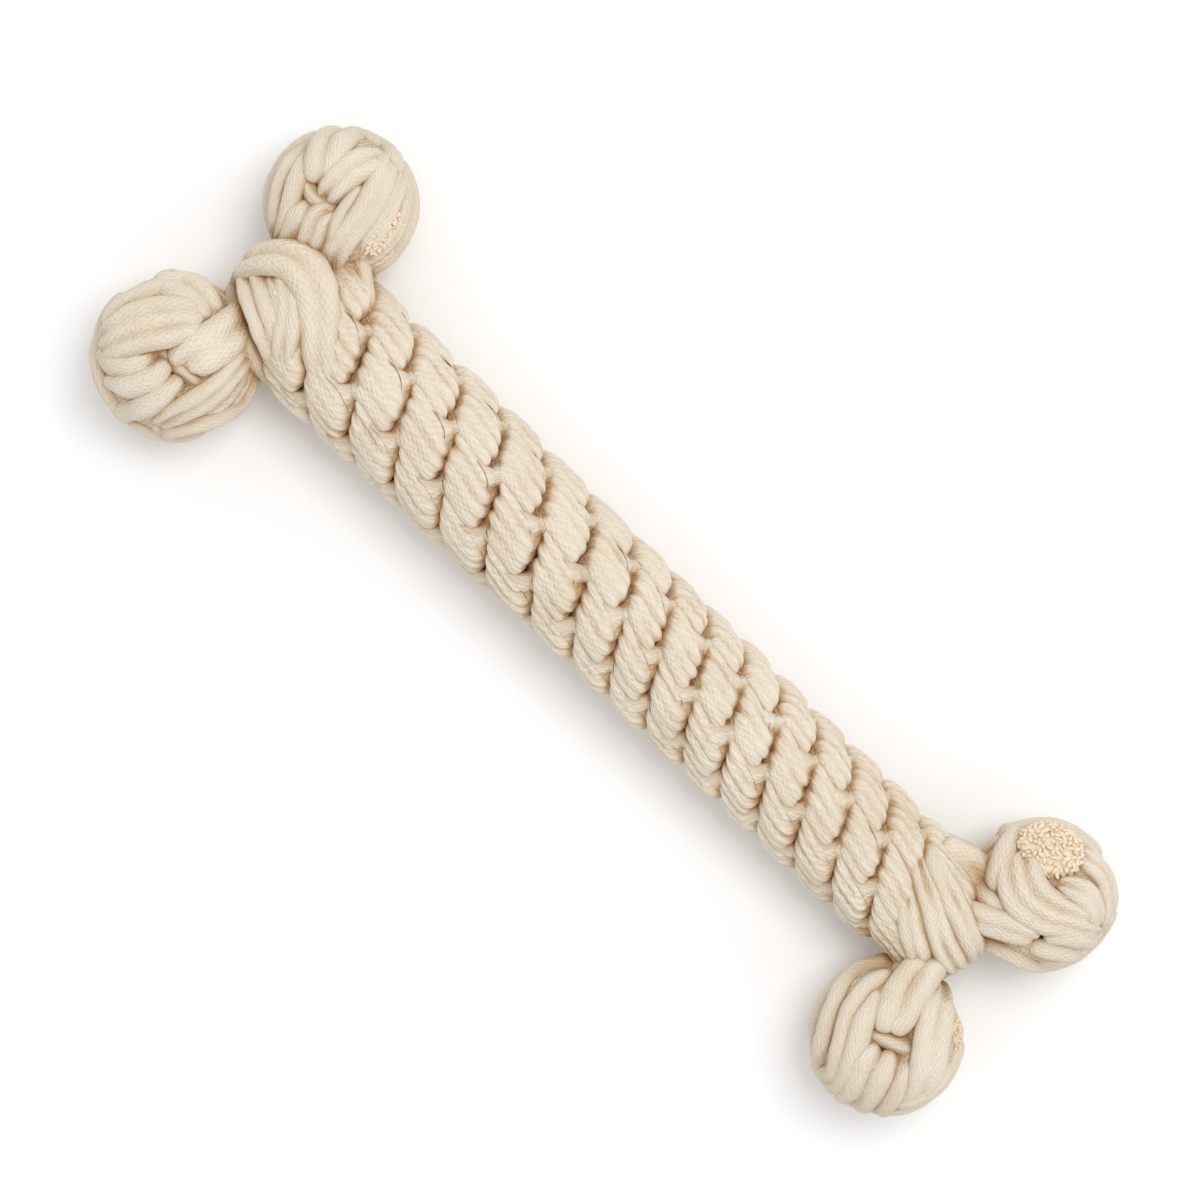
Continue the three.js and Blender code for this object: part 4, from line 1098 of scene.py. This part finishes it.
def wrap_cord(name, knot):
    """The strand round the knot's side. Each size of knot has it start at another side."""
    middle, half = knot
    places = []
    for step in range(WRAP_STEPS + 1):
        share = step / WRAP_STEPS
        level = WRAP_TOP + (WRAP_BOTTOM - WRAP_TOP) * share
        around = 2 * math.pi * WRAP_TURNS * share + half * WRAP_START_PER_METRE
        out = WRAP_DEPTH * (1 - abs(level) ** KNOT_SQUARENESS) ** (1 / KNOT_SQUARENESS)
        x, y = out * math.cos(around), out * math.sin(around)
        places.append(on_knot(knot, x, y, WRAP_DEPTH, math.copysign(1, level)))
    line, carried = smooth_line(places, [[WRAP_WIDTH / 2]] * len(places), WRAP_SPACING)
    outward = unit((line - middle) / (half, half, KNOT_HALF_HEIGHT))
    across = np.cross(outward, unit(np.gradient(line, axis=0)))
    half_thickness = KNOT_CORD_THICKNESS / 2
    return lay_rope(name, line, across, carried[:, 0], half_thickness, Seed=WRAP_SEED, **WRAP_YARN)


for knot_name in KNOTS:
    knot = knot_place(knot_name)
    under = []
    for number, level in enumerate(UNDER_LEVELS):
        under.append(under_cord(f"{knot_name}_under_{number}", knot, level, UNDER_SEED_STEP * number))
    under.append(wrap_cord(f"{knot_name}_wrap", knot))
    piece = one_piece(f"{knot_name}_under_turn_rope", under)
    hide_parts(f"{knot_name}_under_turn")
    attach(piece, knot_name)

# The inside of the knots. There the strands cross in one pressed ball of cotton, held by the
# turns. It is seen only as shade between them, with a dent where they leave a hole.
CORE_RINGS = 40
CORE_SIDES = 64
CORE_DEPTH_SHARE = 0.5
HOLE_DEPTH = 0.3
# Where the turns leave a hole: along the body and across it, and how far it reaches, in shares
KNOT_HOLES = {"upper_left_knot": (-0.14, -0.18, 0.34), "lower_left_knot": (0.22, -0.04, 0.36),
              "upper_right_knot": (0.2, -0.36, 0.24), "lower_right_knot": (-0.04, 0.0, 0.36)}
SHADED_PALE = (0.8, 0.65, 0.46)
SHADED_WARM = (0.52, 0.34, 0.17)
SHADED_RELIEF = 0.8
shaded_cotton = cotton_material("cotton rope in shade", SHADED_PALE, SHADED_WARM, SHADED_RELIEF)


def knot_core(name, knot, hole):
    """The pressed ball. It reaches the middle lines of the turns, apart from its dent."""
    middle, half = knot
    inside = half - KNOT_CORD_THICKNESS * CORE_DEPTH_SHARE
    inside_up = KNOT_HALF_HEIGHT - KNOT_CORD_THICKNESS * CORE_DEPTH_SHARE
    rounds = [(0.0, 0.0, 1.0)]
    for ring in range(1, CORE_RINGS):
        down = math.pi * ring / CORE_RINGS
        out = math.sin(down) ** (2 / KNOT_SQUARENESS)
        up = math.copysign(abs(math.cos(down)) ** (2 / KNOT_SQUARENESS), math.cos(down))
        for side in range(CORE_SIDES):
            around = 2 * math.pi * side / CORE_SIDES
            rounds.append((out * math.cos(around), out * math.sin(around), up))
    rounds.append((0.0, 0.0, -1.0))
    hole_x, hole_y, hole_reach = hole
    places = []
    for x, y, up in rounds:
        away = math.hypot(x - hole_x, y - hole_y) / hole_reach
        dent = HOLE_DEPTH * max(0.0, 1 - away * away) if up > 0 else 0.0
        places.append((x * inside, y * inside, (up - dent) * inside_up))
    points = [(middle[0] + x, middle[1] + y, middle[2] + z) for x, y, z in places]
    mesh = bpy.data.meshes.new(name)
    mesh.from_pydata(points, [], ball_faces(CORE_RINGS, CORE_SIDES))
    mesh.shade_smooth()
    layer = mesh.uv_layers.new(name="UVMap")
    for corner in mesh.loops:
        layer.data[corner.index].uv = places[corner.vertex_index][:2]
    mesh.materials.append(shaded_cotton)
    piece = bpy.data.objects.new(name, mesh)
    bpy.context.scene.collection.objects.link(piece)
    return piece


for knot_name, hole in KNOT_HOLES.items():
    piece = knot_core(f"{knot_name}_inside", knot_place(knot_name), hole)
    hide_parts(f"{knot_name}_core")
    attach(piece, knot_name)

# Necks. The strands that join a knot to the plait run from inside the knot to inside the plait,
# at two levels one above the other. They are soft cotton cords.
NECK_LEVELS = (-0.34, 0.3)
NECK_HALF_THICKNESS = 0.0034
NECK_SPACING = 0.0008
NECK_SEED_STEP = 5.0
NECK_YARN = {**UNDER_YARN, "Sides": 48, "Girth": 0.032}
# Each knot's end of the plait, the neck's width, and its places along the body and across it from
# the knot's middle, as shares of the knot's half size
NECKS = {
    "upper_left_knot": ("left", 0.0088, [(0.25, -0.25), (0.62, -0.42), (0.95, -0.66), (1.3, -0.98)]),
    "lower_left_knot": ("left", 0.0112, [(0.3, 0.45), (0.4, 0.85), (0.62, 1.15), (0.95, 1.35)]),
    "upper_right_knot": ("right", 0.0104, [(-0.2, -0.5), (-0.6, -0.42), (-0.95, -0.36), (-1.4, -0.5)]),
    "lower_right_knot": ("right", 0.0112, [(-0.3, 0.55), (-0.28, 0.9), (-0.22, 1.2), (-0.25, 1.5)]),
}
for knot_name, (end, width, route) in NECKS.items():
    middle, half = knot_place(knot_name)
    for number, level in enumerate(NECK_LEVELS):
        places = [middle + np.array((x * half, y * half, level * KNOT_HALF_HEIGHT)) for x, y in route]
        line, carried = smooth_line(places, [[width / 2]] * len(places), NECK_SPACING)
        across = np.cross(np.array((0.0, 0.0, 1.0)), unit(np.gradient(line, axis=0)))
        piece = lay_rope(f"{knot_name}_neck_{number + 1}_rope", line, across, carried[:, 0],
                         NECK_HALF_THICKNESS, Seed=NECK_SEED_STEP * number, **NECK_YARN)
        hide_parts(f"{knot_name}_neck_{number + 1}")
        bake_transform(piece)

# The table and the light: a pale table, a wide soft lamp above the toy's upper side, and an
# even white room.
TABLE_SIZE = 6.0
TABLE_COLOUR = (0.9, 0.9, 0.9, 1)
TABLE_ROUGHNESS = 0.9
TABLE_GLOSS = 0.1
TABLE_GLOW = (0.06, 0.06, 0.06, 1)
ROOM_COLOUR = (1, 1, 1, 1)
ROOM_BRIGHTNESS = 0.77
LAMP_PLACE = (0.07, 0.34, 1.1)
LAMP_WIDTH = 0.5
LAMP_POWER = 5.4
table_mesh = bpy.data.meshes.new("table")
reach = TABLE_SIZE / 2
corners = [(-reach, -reach, 0), (reach, -reach, 0), (reach, reach, 0), (-reach, reach, 0)]
table_mesh.from_pydata(corners, [], [(0, 1, 2, 3)])
table = bpy.data.objects.new("table", table_mesh)
bpy.context.scene.collection.objects.link(table)
table_material = bpy.data.materials.new("pale table")
table_material.use_nodes = True
table_tree = table_material.node_tree
table_shader = table_tree.nodes["Principled BSDF"]
fill(table_shader, {
    "Base Color": TABLE_COLOUR,
    "Roughness": TABLE_ROUGHNESS,
    "Specular IOR Level": TABLE_GLOSS,
})
camera_ray = new_node(table_tree, "ShaderNodeLightPath", {}, "Is Camera Ray")
glow = new_node(table_tree, "ShaderNodeEmission", {"Strength": camera_ray, "Color": TABLE_GLOW})
both = new_node(table_tree, "ShaderNodeAddShader", {0: Wire(table_tree, table_shader.outputs[0]), 1: glow})
fill(table_tree.nodes["Material Output"], {"Surface": both})
table_mesh.materials.append(table_material)

world = bpy.data.worlds.new("room")
bpy.context.scene.world = world
world.use_nodes = True
fill(world.node_tree.nodes["Background"], {"Color": ROOM_COLOUR, "Strength": ROOM_BRIGHTNESS})
lamp_data = bpy.data.lights.new("upper side lamp", "AREA")
lamp_data.shape = "SQUARE"
lamp_data.size = LAMP_WIDTH
lamp_data.energy = LAMP_POWER
lamp = bpy.data.objects.new("upper side lamp", lamp_data)
lamp.location = LAMP_PLACE
lamp.rotation_euler = (-Vector(LAMP_PLACE)).to_track_quat("-Z", "Y").to_euler()
bpy.context.scene.collection.objects.link(lamp)
bpy.context.scene.view_settings.view_transform = "Standard"
